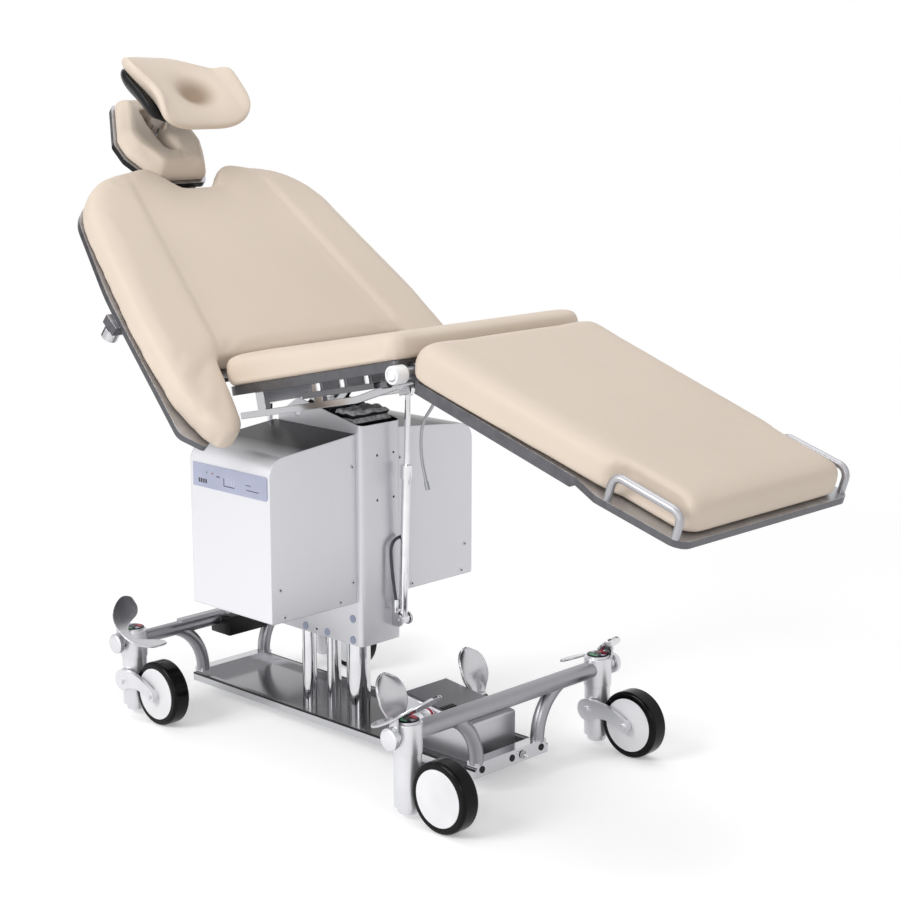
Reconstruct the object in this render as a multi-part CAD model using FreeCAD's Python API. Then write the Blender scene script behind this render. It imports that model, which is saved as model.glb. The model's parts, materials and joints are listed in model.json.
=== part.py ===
# Ophthalmic operating table: a wheeled base, a lifting column and four upholstered sections.
# Millimetres. +X points to the foot end, +Y to the patient's left, +Z up, floor at Z = 0.
import FreeCAD, Part
import math
import os

from FreeCAD import Placement, Rotation, Vector

# Castors: four posts at the corners of the base, each with one wheel behind it
castor_x = 382.0
castor_y = 249.0
wheel_dia = 125.0
wheel_width = 36.0
hub_dia = 94.0
trail = 88.0
axle_dia = 12.0
post_dia = 48.0
post_bottom = 22.0
foot_dia = 36.0
foot_rise = 10.0
foot_length = 52.0
stem_dia = 30.0
arm_thickness = 8.0
arm_gap = 7.0
sleeve_dia = 52.0
sleeve_bottom = 120.0
sleeve_height = 52.0
cap_height = 3.0
cap_dia = 42.0

# Lock shafts: one through each cross tube, with a rocker pedal and a knob at both ends
lock_z = 150.0
lock_dia = 16.0
knob_dia = 38.0
knob_end_y = 296.0
pedal_slope = 29.0
pedal_rise = 43.0
pedal_thickness = 4.0
lobe_width = 48.0
pedal_inner = 92.0
pedal_outer = 58.0

# Base frame
cross_tube_dia = 24.0
cross_tube_bore = 18.0
leg_dia = 22.0
leg_foot_y = 80.0
leg_top_y = 113.0
base_half_width = 96.0
base_bottom = 28.0
base_thickness = 8.0
rim_height = 16.0
rim_width = 12.0
end_bar_half = 91.0
end_bar_height = 27.0
end_bar_depth = 24.0
plug_dia = 13.0
plug_depth = 8.0
earth_pin_dia = 6.0
earth_pin_length = 11.0

# Pump housing with the two lift pedals
housing_x0 = 170.0
housing_x1 = 346.0
housing_half_width = 60.0
housing_back_top = 128.0
housing_front_top = 108.0
housing_wall = 2.0
pedal_pivot_x = 214.0
pedal_pivot_z = 84.0
paddle_y = 111.0

# Lifting column
column_x0 = -174.0
column_x1 = 61.5
column_half_width = 51.4
column_bottom = 184.8
column_front_top = 605.0
column_peak_x = -111.0
column_peak_z = 639.0
column_back_top = 599.0
column_wall = 3.0
column_floor = 10.0
column_corner = 11.0
ram_dia = 46.0
ram_x = -5.0
guide_dia = 28.0
guide_x = -110.0
guide_y = 32.0
sensor_rod_dia = 13.0
sensor_rod_x = -66.0
sensor_rod_y = -16.0
guide_top = 420.0
face_hole_dia = 5.0
face_hole_y = 11.0
face_hole_z = 503.5
face_hole_pitch_y = 42.0
face_hole_pitch_z = 85.0

# Side boxes on both flanks of the column
box_x0 = -176.0
box_x1 = 47.5
box_outer_y = 258.0
box_bottom = 269.6
box_inner_top = 590.0
box_outer_top = 570.0
box_round = 34.0
box_wall = 2.0
panel_height = 44.0
panel_centre_z = 517.5
panel_length = 208.0
panel_thickness = 1.5

# Seat: everything on it is laid out along its own slope, from the back hinge
back_hinge_x = -117.0
back_hinge_z = 677.0
seat_slope = 12.4
tilt_axle_x = -111.0
tilt_axle_z = 612.0
tilt_axle_dia = 18.0
seat_start = 20.0
seat_end = 478.0
seat_half_width = 240.0
seat_thickness = 56.0
seat_front_thickness = 46.0
seat_plate_thickness = 17.0
seat_plate_inset = 6.0
frame_depth = 22.0
side_bar_y = 174.0
side_bar_drop = 56.0
rail_width = 25.0
rail_thickness = 10.0
rail_start = 232.0
rail_length = 184.0
rail_drop = 14.0
hinge_tube_dia = 22.0
hinge_tube_half = 246.0
back_axle_dia = 18.0

# Leg section, laid out along its slope from the leg hinge
leg_hinge_u = 469.0
leg_hinge_w = -23.5
leg_slope = -17.3
leg_length = 609.0
leg_cushion_start = 10.0
leg_cushion_length = 576.0
leg_head_half = 224.0
leg_foot_half = 208.0
leg_plate_half = 214.0
leg_plate_wide = 232.0
leg_plate_foot = 224.0
leg_step_u = 386.0
leg_step_length = 58.0
leg_bar_width = 14.0
leg_bar_depth = 8.0
leg_plate_thickness = 12.0
leg_plate_top = -4.0
leg_cushion_thickness = 72.0
leg_foot_thickness = 56.0
handle_dia = 13.0
handle_height = 40.0
handle_length = 134.0
handle_y = 219.0

# Backrest, laid out upwards along its slope from the back hinge
back_slope = 40.0
back_top = 545.0
back_top_half = 284.0
lobe_end = -153.0
lobe_outer = 363.0
lobe_inner = 277.0
lobe_root = 240.0
back_centre = 36.0
notch_bottom = 484.0
notch_half = 40.0
notch_top_half = 95.0
back_thickness = 55.0
back_plate_thickness = 12.0
crease_depth = 4.0
crease_dia = 30.0

# Head section on the backrest's slope
head_hinge_t = 505.0
head_hinge_h = -22.0
head_start = 526.0
head_wide_start = head_start + 72.0
head_wide_end = head_wide_start + 42.0
head_end = head_wide_end + 112.0
head_start_half = 58.0
head_wide_half = 92.0
head_end_half = 34.0
head_thickness = 45.0
head_rise = 10.0
slot_start = head_start + 52.0
slot_end = head_end - 50.0
slot_width = 26.0
ball_dia = 26.0
ball_t = slot_end - 52.0
ball_h = head_rise + head_thickness + ball_dia / 2 + 2.0
rest_t = ball_t - 23.0
rest_length = 200.0
rest_half = 127.0
rest_corner = 76.0
rest_floor_h = ball_h + 88.0
rest_inner_r = 360.0
rest_thickness = 34.0
rest_dip_r = 190.0
rest_dip = 20.0
shell_thickness = 4.0
shell_side = 27.0
wing_hole_length = 70.0
wing_hole_height = 14.0

# Gas springs between the column and the seat frame
front_foot_x = 77.0
front_foot_z = 225.0
front_top_x = 93.0
front_top_z = 668.0
front_y = 40.0
rear_x = -198.0
rear_top_z = 628.0
rear_y = -46.0
spring_tube_dia = 17.0
spring_rod_dia = 11.0
spring_tube_length = 300.0
rod_start = 82.0
eye_dia = 26.0
eye_play = 2.6
pin_dia = 8.0

# Clearances
running = 0.05
gap = 0.4


# Basic shapes
def box(x0, x1, y0, y1, z0, z1):
    return Part.makeBox(x1 - x0, y1 - y0, z1 - z0, Vector(x0, y0, z0))


def rod(start, end, dia):
    a = Vector(*start)
    b = Vector(*end)
    return Part.makeCylinder(dia / 2, (b - a).Length, a, b - a)


def fuse(shapes):
    first = shapes[0]
    whole = first.multiFuse(shapes[1:]) if len(shapes) > 1 else first
    return whole.removeSplitter()


def rounded_wire(points, radii):
    """Closed outline in the XY plane with an arc of the given radius at each corner."""
    count = len(points)
    corners = []
    for i, point in enumerate(points):
        here = Vector(point[0], point[1], 0)
        before = Vector(points[i - 1][0], points[i - 1][1], 0) - here
        after = Vector(points[(i + 1) % count][0], points[(i + 1) % count][1], 0) - here
        before.normalize()
        after.normalize()
        half = before.getAngle(after) / 2
        reach = radii[i] / math.tan(half)
        middle = before + after
        middle.normalize()
        depth = radii[i] / math.sin(half) - radii[i]
        corners.append((here + before * reach, here + middle * depth, here + after * reach))
    edges = []
    for i, (start, middle, end) in enumerate(corners):
        edges.append(Part.Arc(start, middle, end).toShape())
        following = corners[(i + 1) % count][0]
        edges.append(Part.LineSegment(end, following).toShape())
    return Part.Wire(edges)


def turn_at(points, i):
    """Positive where a counter-clockwise outline turns left at corner i."""
    ax, ay = points[i - 1]
    bx, by = points[i]
    cx, cy = points[(i + 1) % len(points)]
    return (bx - ax) * (cy - by) - (by - ay) * (cx - bx)


def inset_points(points, inset):
    """The outline drawn in by the same distance on every side."""
    count = len(points)
    lines = []
    for i in range(count):
        ax, ay = points[i]
        bx, by = points[(i + 1) % count]
        length = math.hypot(bx - ax, by - ay)
        nx = -(by - ay) / length
        ny = (bx - ax) / length
        lines.append((nx, ny, nx * ax + ny * ay + inset))
    moved = []
    for i in range(count):
        a1, b1, c1 = lines[i - 1]
        a2, b2, c2 = lines[i]
        det = a1 * b2 - a2 * b1
        moved.append(((c1 * b2 - c2 * b1) / det, (a1 * c2 - a2 * c1) / det))
    return moved


def inset_radii(points, radii, inset):
    """Outer corners tighten and inner corners widen as the outline is drawn in."""
    result = []
    for i, radius in enumerate(radii):
        change = -inset if turn_at(points, i) > 0 else inset
        result.append(max(radius + change, 1.0))
    return result


def prism(points, radii, z0, z1):
    face = Part.Face(rounded_wire(points, radii))
    return face.extrude(Vector(0, 0, z1 - z0)).translated(Vector(0, 0, z0))


def padded(points, radii, height, crown_inset, crown):
    """Cushion: drawn in at its base, full at the waist, rounded over to a crowned top."""
    sections = [
        (9.0, 0.0),
        (2.5, height * 0.12),
        (0.0, height * 0.34),
        (1.5, height * 0.62),
        (8.0, height * 0.84),
        (20.0, height - crown),
        (crown_inset, height),
    ]
    wires = []
    for inset, level in sections:
        drawn = inset_points(points, inset)
        wire = rounded_wire(drawn, inset_radii(points, radii, inset))
        wires.append(wire.translated(Vector(0, 0, level)))
    return Part.makeLoft(wires, True, True)


def mirror_y(shape):
    return shape.mirror(Vector(0, 0, 0), Vector(0, 1, 0))


def mirror_x(shape):
    return shape.mirror(Vector(0, 0, 0), Vector(1, 0, 0))


def both_sides(shape):
    return [shape, mirror_y(shape)]


def profile_y(points, y0, y1):
    """Polygon in the XZ plane pulled along Y."""
    corners = [Vector(x, y0, z) for x, z in points]
    face = Part.Face(Part.makePolygon(corners + corners[:1]))
    return face.extrude(Vector(0, y1 - y0, 0))


def laid(shape, x, z, slope):
    """Local X along a slope that rises towards the foot end, local Z square to it."""
    shape.Placement = Placement(Vector(x, 0, z), Rotation(Vector(0, 1, 0), -slope)) * shape.Placement
    return shape


def laid_back(shape):
    """Local X up the backrest towards the head, local Z out of the upholstery."""
    shape.rotate(Vector(0, 0, 0), Vector(0, 0, 1), 180)
    return laid(shape, back_hinge_x, back_hinge_z, -back_slope)


def laid_seat(shape):
    return laid(shape, back_hinge_x, back_hinge_z, seat_slope)


def seat_point(u, w):
    angle = math.radians(seat_slope)
    x = back_hinge_x + u * math.cos(angle) - w * math.sin(angle)
    z = back_hinge_z + u * math.sin(angle) + w * math.cos(angle)
    return x, z


def seat_local(x, z):
    angle = math.radians(seat_slope)
    dx = x - back_hinge_x
    dz = z - back_hinge_z
    u = dx * math.cos(angle) + dz * math.sin(angle)
    w = dz * math.cos(angle) - dx * math.sin(angle)
    return u, w


leg_hinge_x, leg_hinge_z = seat_point(leg_hinge_u, leg_hinge_w)


def laid_leg(shape):
    return laid(shape, leg_hinge_x, leg_hinge_z, leg_slope)


nodes = {}


# Castors
castor_names = ("foot_near", "foot_far", "head_near", "head_far")
castor_signs = ((1, -1), (1, 1), (-1, -1), (-1, 1))
arm_sides = (1, -1, -1, 1)
wheel_r = wheel_dia / 2
lobe_r = lobe_width / 2
sleeve_top = sleeve_bottom + sleeve_height
stem_top = lock_z - lock_dia / 2 - 3.0


def castor_post(side):
    post_r = post_dia / 2
    post = rod((0, 0, post_bottom), (0, 0, sleeve_bottom - gap), post_dia)
    post = fuse([post, rod((0, 0, sleeve_bottom - 2), (0, 0, stem_top), stem_dia)])
    hole_top = foot_rise + foot_length + foot_rise
    post = post.cut(rod((0, 0, 0), (0, 0, hole_top), foot_dia + 2 * running))
    inner = wheel_width / 2 + arm_gap
    y0, y1 = sorted((side * inner, side * (inner + arm_thickness)))
    boss_z = wheel_r + 12.0
    crown = Vector(3, 0, boss_z + 21)
    nose = Vector(trail + 10, 0, wheel_r + 8)
    chin = Vector(trail - 2, 0, wheel_r - 12)
    heel = Vector(6, 0, boss_z - 20)
    curves = [
        Part.Arc(crown, Vector(trail * 0.58, 0, boss_z + 17), nose),
        Part.Arc(nose, Vector(trail + 11, 0, wheel_r - 7), chin),
        Part.Arc(chin, Vector(trail * 0.5, 0, boss_z - 9), heel),
        Part.Arc(heel, Vector(-20, 0, boss_z + 4), crown),
    ]
    outline = Part.Wire([curve.toShape() for curve in curves])
    arm = Part.Face(outline).extrude(Vector(0, y1 - y0, 0)).translated(Vector(0, y0, 0))

    def across(x, z, a, b, dia):
        return rod((x, side * a, z), (x, side * b, z), dia)

    outside = inner + arm_thickness
    boss = across(0, boss_z, post_r - 6, inner + 1, 28)
    bolt = across(0, boss_z, outside - 1, outside + 5, 15)
    hub_boss = across(trail, wheel_r, inner + 1, wheel_width / 2 + 1, 22)
    axle = across(trail, wheel_r, inner + 2, 3 - wheel_width / 2, axle_dia)
    nut = across(trail, wheel_r, outside - 1, outside + 4, 13)
    return fuse([post, arm, boss, bolt, hub_boss, axle, nut])


def floor_pad():
    body = rod((0, 0, foot_rise), (0, 0, foot_rise + foot_length), foot_dia)
    rim = [edge for edge in body.Edges if edge.BoundBox.ZMax < foot_rise + 0.1]
    return body.makeChamfer(2.5, rim)


def wheel_hub(side):
    half = wheel_width / 2 - 1
    hub = rod((trail, -half, wheel_r), (trail, half, wheel_r), hub_dia - 2 * running)
    dish = rod((trail, -half, wheel_r), (trail, -half + 1.2, wheel_r), hub_dia - 14)
    hub = hub.cut(dish).cut(dish.mirror(Vector(0, 0, 0), Vector(0, 1, 0)))
    depth = wheel_width / 2 - 2
    bore = rod((trail, side * wheel_width, wheel_r), (trail, -side * depth, wheel_r), axle_dia + 2 * running)
    return hub.cut(bore)


def wheel_tyre():
    half = wheel_width / 2
    ring = rod((trail, -half, wheel_r), (trail, half, wheel_r), wheel_dia)
    ring = ring.cut(rod((trail, -half, wheel_r), (trail, half, wheel_r), hub_dia))
    outer = [edge for edge in ring.Edges if abs(edge.BoundBox.XLength - wheel_dia) < 0.1]
    return ring.makeFillet(6.0, outer)


sleeves = []
for name, (sx, sy), side in zip(castor_names, castor_signs, arm_sides):
    at = Vector(sx * castor_x, sy * castor_y, 0)
    nodes["castor_post_" + name] = castor_post(side).translated(at)
    nodes["floor_pad_" + name] = floor_pad().translated(at)
    nodes["wheel_hub_" + name] = wheel_hub(side).translated(at)
    nodes["wheel_tyre_" + name] = wheel_tyre().translated(at)
    sleeve = rod((0, 0, sleeve_bottom), (0, 0, sleeve_top), sleeve_dia)
    shoulder = [edge for edge in sleeve.Edges if edge.BoundBox.ZMin > sleeve_top - 0.1]
    sleeve = sleeve.makeFillet(3.0, shoulder)
    sleeve = fuse([sleeve, rod((0, 0, sleeve_top - 1), (0, 0, sleeve_top + cap_height), cap_dia)])
    sleeve = sleeve.cut(rod((0, 0, sleeve_bottom - 1), (0, 0, stem_top + 0.5), stem_dia + 2 * running))
    sleeve = sleeve.cut(rod((0, -sleeve_dia, lock_z), (0, sleeve_dia, lock_z), lock_dia + 2 * running))
    sleeves.append(sleeve.translated(at))
nodes["castor_sleeves"] = Part.makeCompound(sleeves)


# Lock shafts with their rocker pedals
def rocker_pedal():
    """Two oval lobes joined by a crescent that passes outside the sleeve, for the foot end, near side."""
    slope = math.tan(math.radians(pedal_slope))
    x0 = -pedal_inner
    x1 = pedal_outer
    low = pedal_rise - pedal_inner * slope
    high = pedal_rise + pedal_outer * slope
    sag = 7.0
    low_tip = Vector(x0, 0, low)
    high_tip = Vector(x1, 0, high)
    hollow = Vector((x0 + x1) / 2, 0, (low + high) / 2 - sag)
    rise = Vector(0, 0, pedal_thickness)
    strip = Part.Wire([
        Part.Arc(low_tip, hollow, high_tip).toShape(),
        Part.LineSegment(high_tip, high_tip + rise).toShape(),
        Part.Arc(high_tip + rise, hollow + rise, low_tip + rise).toShape(),
        Part.LineSegment(low_tip + rise, low_tip).toShape(),
    ])
    band_y = -(knob_end_y - 17.0 - castor_y)
    sheet = Part.Face(strip).extrude(Vector(0, 4 * lobe_width, 0)).translated(Vector(0, -2 * lobe_width, 0))
    deep = 2 * pedal_inner
    inner_lobe = Part.makeCylinder(lobe_r, 2 * deep, Vector(x0 + lobe_r, -4, -deep))
    outer_lobe = Part.makeCylinder(lobe_r, 2 * deep, Vector(x1 - lobe_r, -4, -deep))
    inner_edge = sleeve_dia / 2 + 3
    band_x = x0 + lobe_r
    band = box(band_x, x1 - lobe_r, band_y - 6, -2, -deep, deep)
    clear = Part.makeCylinder(inner_edge, 3 * deep, Vector(0, 2, -deep))
    plan = inner_lobe.multiFuse([outer_lobe, band]).cut(clear)
    plate = sheet.common(plan)
    collar = rod((0, band_y - 6, 0), (0, band_y + 2, 0), lock_dia + 12)
    web = box(-9, 9, band_y - 5, band_y + 1, 0, pedal_rise - 2)
    return fuse([plate, collar, web])


def lock_shaft(sx):
    shaft = rod((0, -knob_end_y + 2, lock_z), (0, knob_end_y - 2, lock_z), lock_dia)
    pieces = [shaft]
    for sy in (-1, 1):
        pieces.append(rod((0, sy * (knob_end_y - 11), lock_z), (0, sy * knob_end_y, lock_z), knob_dia))
        pedal = rocker_pedal().translated(Vector(0, -castor_y, lock_z))
        pieces.append(pedal if sy < 0 else mirror_y(pedal))
    whole = fuse(pieces)
    whole = whole if sx > 0 else mirror_x(whole)
    return whole.translated(Vector(sx * castor_x, 0, 0))


nodes["lock_shaft_foot"] = lock_shaft(1)
nodes["lock_shaft_head"] = lock_shaft(-1)


# Base frame
base_top = base_bottom + base_thickness
base_x = castor_x + 12.0


def frame_end(sx):
    x = sx * castor_x
    reach = castor_y - 4.0
    tube = rod((x, -reach, lock_z), (x, reach, lock_z), cross_tube_dia)
    bend = 45.0
    rise = math.sqrt(bend * bend - (bend - (leg_top_y - leg_foot_y)) ** 2)
    arc_z = lock_z - rise
    middle_angle = math.asin(rise / bend) / 2
    centre_y = leg_foot_y + bend
    legs = []
    for sy in (-1, 1):
        start = Vector(x, sy * leg_foot_y, base_bottom + end_bar_height)
        knee = Vector(x, sy * leg_foot_y, arc_z)
        middle_y = centre_y - bend * math.cos(middle_angle)
        middle = Vector(x, sy * middle_y, arc_z + bend * math.sin(middle_angle))
        top = Vector(x, sy * leg_top_y, lock_z)
        path = Part.Wire([Part.LineSegment(start, knee).toShape(), Part.Arc(knee, middle, top).toShape()])
        ring = Part.Wire([Part.Circle(start, Vector(0, 0, 1), leg_dia / 2).toShape()])
        legs.append(path.makePipeShell([ring], True, False))
    whole = fuse([tube] + legs)
    whole = whole.cut(rod((x, -reach - 1, lock_z), (x, reach + 1, lock_z), cross_tube_bore))
    for sy in (-1, 1):
        post_y = sy * castor_y
        whole = whole.cut(rod((x, post_y, sleeve_bottom - 5), (x, post_y, sleeve_top + 5), sleeve_dia))
    return whole


nodes["base_frame_foot"] = frame_end(1)
bracket = box(-castor_x - 20, -castor_x + 40, -42, 58, lock_z - 32, lock_z + 10)
bracket = bracket.cut(rod((-castor_x, -castor_y, lock_z), (-castor_x, castor_y, lock_z), cross_tube_dia - 1))
head_frame = fuse([frame_end(-1), bracket])
nodes["base_frame_head"] = head_frame

plate = box(-base_x, base_x, -base_half_width, base_half_width, base_bottom, base_top)
rim_y = base_half_width - rim_width
rims = [box(-base_x, base_x, rim_y, base_half_width, base_bottom, base_bottom + rim_height)]
rims.append(mirror_y(rims[0]))
end_bars = []
for sx in (-1, 1):
    x0, x1 = sorted((sx * base_x, sx * (base_x - end_bar_depth)))
    end_bars.append(box(x0, x1, -end_bar_half, end_bar_half, base_bottom, base_bottom + end_bar_height))
base_plate = fuse([plate] + rims + end_bars)
bar_middle = base_bottom + end_bar_height / 2
plug_places = (-end_bar_half + plug_dia, 0.0, end_bar_half - plug_dia)
plugs = []
for y in plug_places:
    hole = rod((base_x - plug_depth, y, bar_middle), (base_x + 1, y, bar_middle), plug_dia)
    base_plate = base_plate.cut(hole)
    plugs.append(rod((base_x - plug_depth, y, bar_middle), (base_x + 1, y, bar_middle), plug_dia))
earth_y = end_bar_half * 0.3
earth_disc = rod((base_x, earth_y, bar_middle), (base_x + 1.5, earth_y, bar_middle), plug_dia + 2)
earth_tip = (base_x + earth_pin_length, earth_y, bar_middle)
earth_pin = rod((base_x + 1, earth_y, bar_middle), earth_tip, earth_pin_dia)
plugs.append(fuse([earth_disc, earth_pin]))
nodes["base_plate"] = base_plate
nodes["end_bar_plugs"] = Part.makeCompound(plugs)

# Pump housing, lift pedals and valve
housing_outline = [
    (housing_x0, base_top),
    (housing_x1, base_top),
    (housing_x1, housing_front_top),
    (housing_x0, housing_back_top),
]
w = housing_wall
housing_core = [
    (housing_x0 + w, base_top - 1),
    (housing_x1 - w, base_top - 1),
    (housing_x1 - w, housing_front_top - w),
    (housing_x0 + w, housing_back_top - w),
]
housing = profile_y(housing_outline, -housing_half_width, housing_half_width)
rounding = [edge for edge in housing.Edges if edge.BoundBox.ZMin > base_top + 1]
housing = housing.makeFillet(7.0, rounding)
housing = housing.cut(profile_y(housing_core, -housing_half_width + w, housing_half_width - w))
pivot_hole = rod((pedal_pivot_x, -200, pedal_pivot_z), (pedal_pivot_x, 200, pedal_pivot_z), 12 + 2 * running)
housing = housing.cut(pivot_hole)
slot_x = housing_x0 + 0.58 * (housing_x1 - housing_x0)
slope = (housing_front_top - housing_back_top) / (housing_x1 - housing_x0)
recess_z = housing_back_top + slope * (slot_x - housing_x0)
recess = box(-6, 6, -52, -22, -0.8, 4)
recess.rotate(Vector(0, 0, 0), Vector(0, 1, 0), -math.degrees(math.atan(slope)))
housing = housing.cut(recess.translated(Vector(slot_x, 0, recess_z)))
nodes["pump_housing"] = housing


def lift_pedal():
    """Oval paddle leaning back on a curved arm, near side."""
    paddle = Part.makeCylinder(24.0, 4.0, Vector(0, 0, -2))
    stretch = FreeCAD.Matrix()
    stretch.scale(1.28, 1.0, 1.0)
    paddle = paddle.transformGeometry(stretch)
    paddle.rotate(Vector(0, 0, 0), Vector(0, 1, 0), -110)
    paddle = paddle.translated(Vector(pedal_pivot_x - 18, -paddle_y, pedal_pivot_z + 54))
    shaft = rod((pedal_pivot_x, -paddle_y + 10, pedal_pivot_z),
                (pedal_pivot_x, -housing_half_width + 20, pedal_pivot_z), 12)
    arm = profile_y([
        (pedal_pivot_x - 9, pedal_pivot_z - 8),
        (pedal_pivot_x + 9, pedal_pivot_z - 8),
        (pedal_pivot_x + 7, pedal_pivot_z + 14),
        (pedal_pivot_x - 8, pedal_pivot_z + 44),
        (pedal_pivot_x - 14, pedal_pivot_z + 42),
        (pedal_pivot_x - 5, pedal_pivot_z + 14),
    ], -paddle_y - 9, -paddle_y + 12)
    return fuse([paddle, shaft, arm])


nodes["lift_pedal_near"] = lift_pedal()
nodes["lift_pedal_far"] = mirror_y(lift_pedal())
valve_x = 268.0
valve_dia = 34.0
valve_y = -housing_half_width - valve_dia / 2
valve = fuse([
    rod((valve_x, valve_y, base_bottom + rim_height), (valve_x, valve_y, 104), valve_dia - 2),
    rod((valve_x, valve_y, 103), (valve_x, valve_y, 116), valve_dia),
    rod((valve_x, valve_y, 115), (valve_x, valve_y, 138), valve_dia * 0.45),
])
nodes["pump_valve"] = valve

lever_half = 8.0
lever_x = -castor_x + cross_tube_dia / 2 + lever_half + 2.0
lever_z = lock_z + 22.0
lever = box(lever_x - lever_half, lever_x + lever_half, -158, -42, lever_z - 3, lever_z + 3)
lever_tip = [e for e in lever.Edges if e.BoundBox.ZLength > 5 and e.BoundBox.YMax < -150]
lever = lever.makeFillet(lever_half - 1, lever_tip)
lever_eye = rod((lever_x - lever_half, -36, lever_z), (lever_x + lever_half, -36, lever_z), 18)
lever = fuse([lever, lever_eye])
lever = lever.cut(rod((lever_x - 30, -36, lever_z), (lever_x + 30, -36, lever_z), 8 + 2 * running))
nodes["head_lever"] = lever
ears = []
for dx in (-lever_half - gap - 5, lever_half + gap):
    ear = box(lever_x + dx, lever_x + dx + 5, -42, -30, lock_z + 8, lever_z + 6)
    ears.append(ear)
ears.append(rod((lever_x - lever_half - 4, -36, lever_z), (lever_x + lever_half + 4, -36, lever_z), 8))
nodes["base_frame_head"] = fuse([nodes["base_frame_head"]] + ears)

# Lift tubes standing on the base plate
tubes = [
    (ram_x, 0.0, ram_dia),
    (guide_x, -guide_y, guide_dia),
    (guide_x, guide_y, guide_dia),
    (sensor_rod_x, sensor_rod_y, sensor_rod_dia),
]
nodes["lift_tubes"] = Part.makeCompound(
    [rod((x, y, base_top), (x, y, guide_top), dia) for x, y, dia in tubes])


# Column casing: folded sheet, open at the top, with a guide floor
def casing_outline(offset, low):
    return [
        (column_x0 + offset, low),
        (column_x1 - offset, low),
        (column_x1 - offset, column_front_top),
        (column_peak_x, column_peak_z),
        (column_x0 + offset, column_back_top),
    ]


casing = profile_y(casing_outline(0, column_bottom), -column_half_width, column_half_width)
upright = [e for e in casing.Edges if e.BoundBox.ZLength > 300 and e.BoundBox.XLength < 1]
casing = casing.makeFillet(column_corner, upright)
inner_half = column_half_width - column_wall
core = box(column_x0 + column_wall, column_x1 - column_wall, -inner_half, inner_half,
           column_bottom + column_floor, column_peak_z + 50)
core = core.makeFillet(column_corner - column_wall, [e for e in core.Edges if e.BoundBox.ZLength > 300])
casing = casing.cut(core)
for x, y, dia in tubes:
    bush_top = column_bottom + column_floor + 1
    casing = casing.cut(rod((x, y, column_bottom - 1), (x, y, bush_top), dia + 2 * running))
axle_reach = column_half_width + 1
axle_ends = [(tilt_axle_x, sy * axle_reach, tilt_axle_z) for sy in (-1, 1)]
casing = casing.cut(rod(axle_ends[0], axle_ends[1], tilt_axle_dia + 2 * running))
for y in (-face_hole_pitch_y / 2, face_hole_pitch_y / 2):
    for z in (-face_hole_pitch_z / 2, face_hole_pitch_z / 2):
        spot = (column_x1 - 20, face_hole_y + y, face_hole_z + z)
        casing = casing.cut(rod(spot, (column_x1 + 1, face_hole_y + y, face_hole_z + z), face_hole_dia))
nodes["column_casing"] = casing


# Side boxes: five-walled covers that close against the casing
def box_outline(offset):
    low = box_bottom + offset
    inner = column_half_width
    outer = box_outer_y - offset
    return [
        (inner, low),
        (outer, low),
        (outer, box_outer_top - offset),
        (inner, box_inner_top - offset),
    ]


def side_box():
    shells = []
    for offset, x0, x1 in ((0.0, box_x0, box_x1), (box_wall, box_x0 + box_wall, box_x1 - box_wall)):
        radii = [0.5, 3.0 - offset / 2, box_round - offset, 0.5]
        wire = rounded_wire(box_outline(offset), radii)
        solid = Part.Face(wire).extrude(Vector(0, 0, x1 - x0))
        solid.Placement = Placement(Vector(x0, 0, 0), Rotation(Vector(1, 1, 1), 120))
        shells.append(solid)
    opening = box(box_x0 + box_wall, box_x1 - box_wall, column_half_width - 1, column_half_width + 3,
                  box_bottom + box_wall, box_inner_top - 2 * box_wall)
    return shells[0].cut(shells[1]).cut(opening)


far_box = side_box()
nodes["side_box_far"] = far_box
nodes["side_box_near"] = mirror_y(far_box)
panel_x0 = box_x0 + 9.0
panel = box(panel_x0, panel_x0 + panel_length, -box_outer_y - panel_thickness, -box_outer_y,
            panel_centre_z - panel_height / 2, panel_centre_z + panel_height / 2)
panel_corners = [e for e in panel.Edges if e.BoundBox.YLength > 1 and e.BoundBox.XMin > panel_x0 + 1]
panel = panel.makeFillet(6.0, panel_corners)
nodes["control_panel"] = panel

screw_dia = 8.0
cap_plug_dia = 15.0
head_height = 1.5
edge_y = column_half_width + 9.5
low_z = box_bottom + 9.0
cover_places = [
    (edge_y, box_bottom + 41.0),
    (edge_y, box_bottom + 260.0),
    (edge_y + 32.0, low_z),
    (box_outer_y - 29.0, low_z),
    (box_outer_y - 20.0, box_bottom + 61.0),
]
screws = []
for sy in (-1, 1):
    for y, z in cover_places:
        screws.append(rod((box_x1, sy * y, z), (box_x1 + head_height, sy * y, z), screw_dia))
cap_z = column_bottom + 10.0
for x, z in ((-98.0, cap_z), (-36.0, cap_z), (36.0, cap_z), (36.0, cap_z + 41.0)):
    for sy in (-1, 1):
        face = sy * column_half_width
        screws.append(rod((x, face, z), (x, face + sy * head_height, z), cap_plug_dia))
nodes["cover_screws"] = Part.makeCompound(screws)


# Folded gaiter closing the mouth of the column in front of the tilt yoke
gaiter_x0 = -32.0
gaiter_x1 = column_x1 - column_wall - 1.0
folds = []
fold_half = inner_half - 0.5
for i in range(4):
    z = 566.0 + 16.0 * i
    lean = 6.0 * i
    front_x = gaiter_x1 - lean
    outline = [
        (gaiter_x0, -fold_half),
        (front_x, -fold_half),
        (front_x, fold_half),
        (gaiter_x0, fold_half),
    ]
    wide = rounded_wire(outline, [6.0] * 4).translated(Vector(0, 0, z + 8))
    narrow_points = inset_points(outline, 5.0)
    foot = rounded_wire(narrow_points, [4.0] * 4).translated(Vector(0, 0, z))
    head = rounded_wire(narrow_points, [4.0] * 4).translated(Vector(0, 0, z + 16))
    folds.append(Part.makeLoft([foot, wide, head], True, True))
nodes["gaiter"] = fuse(folds)


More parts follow.
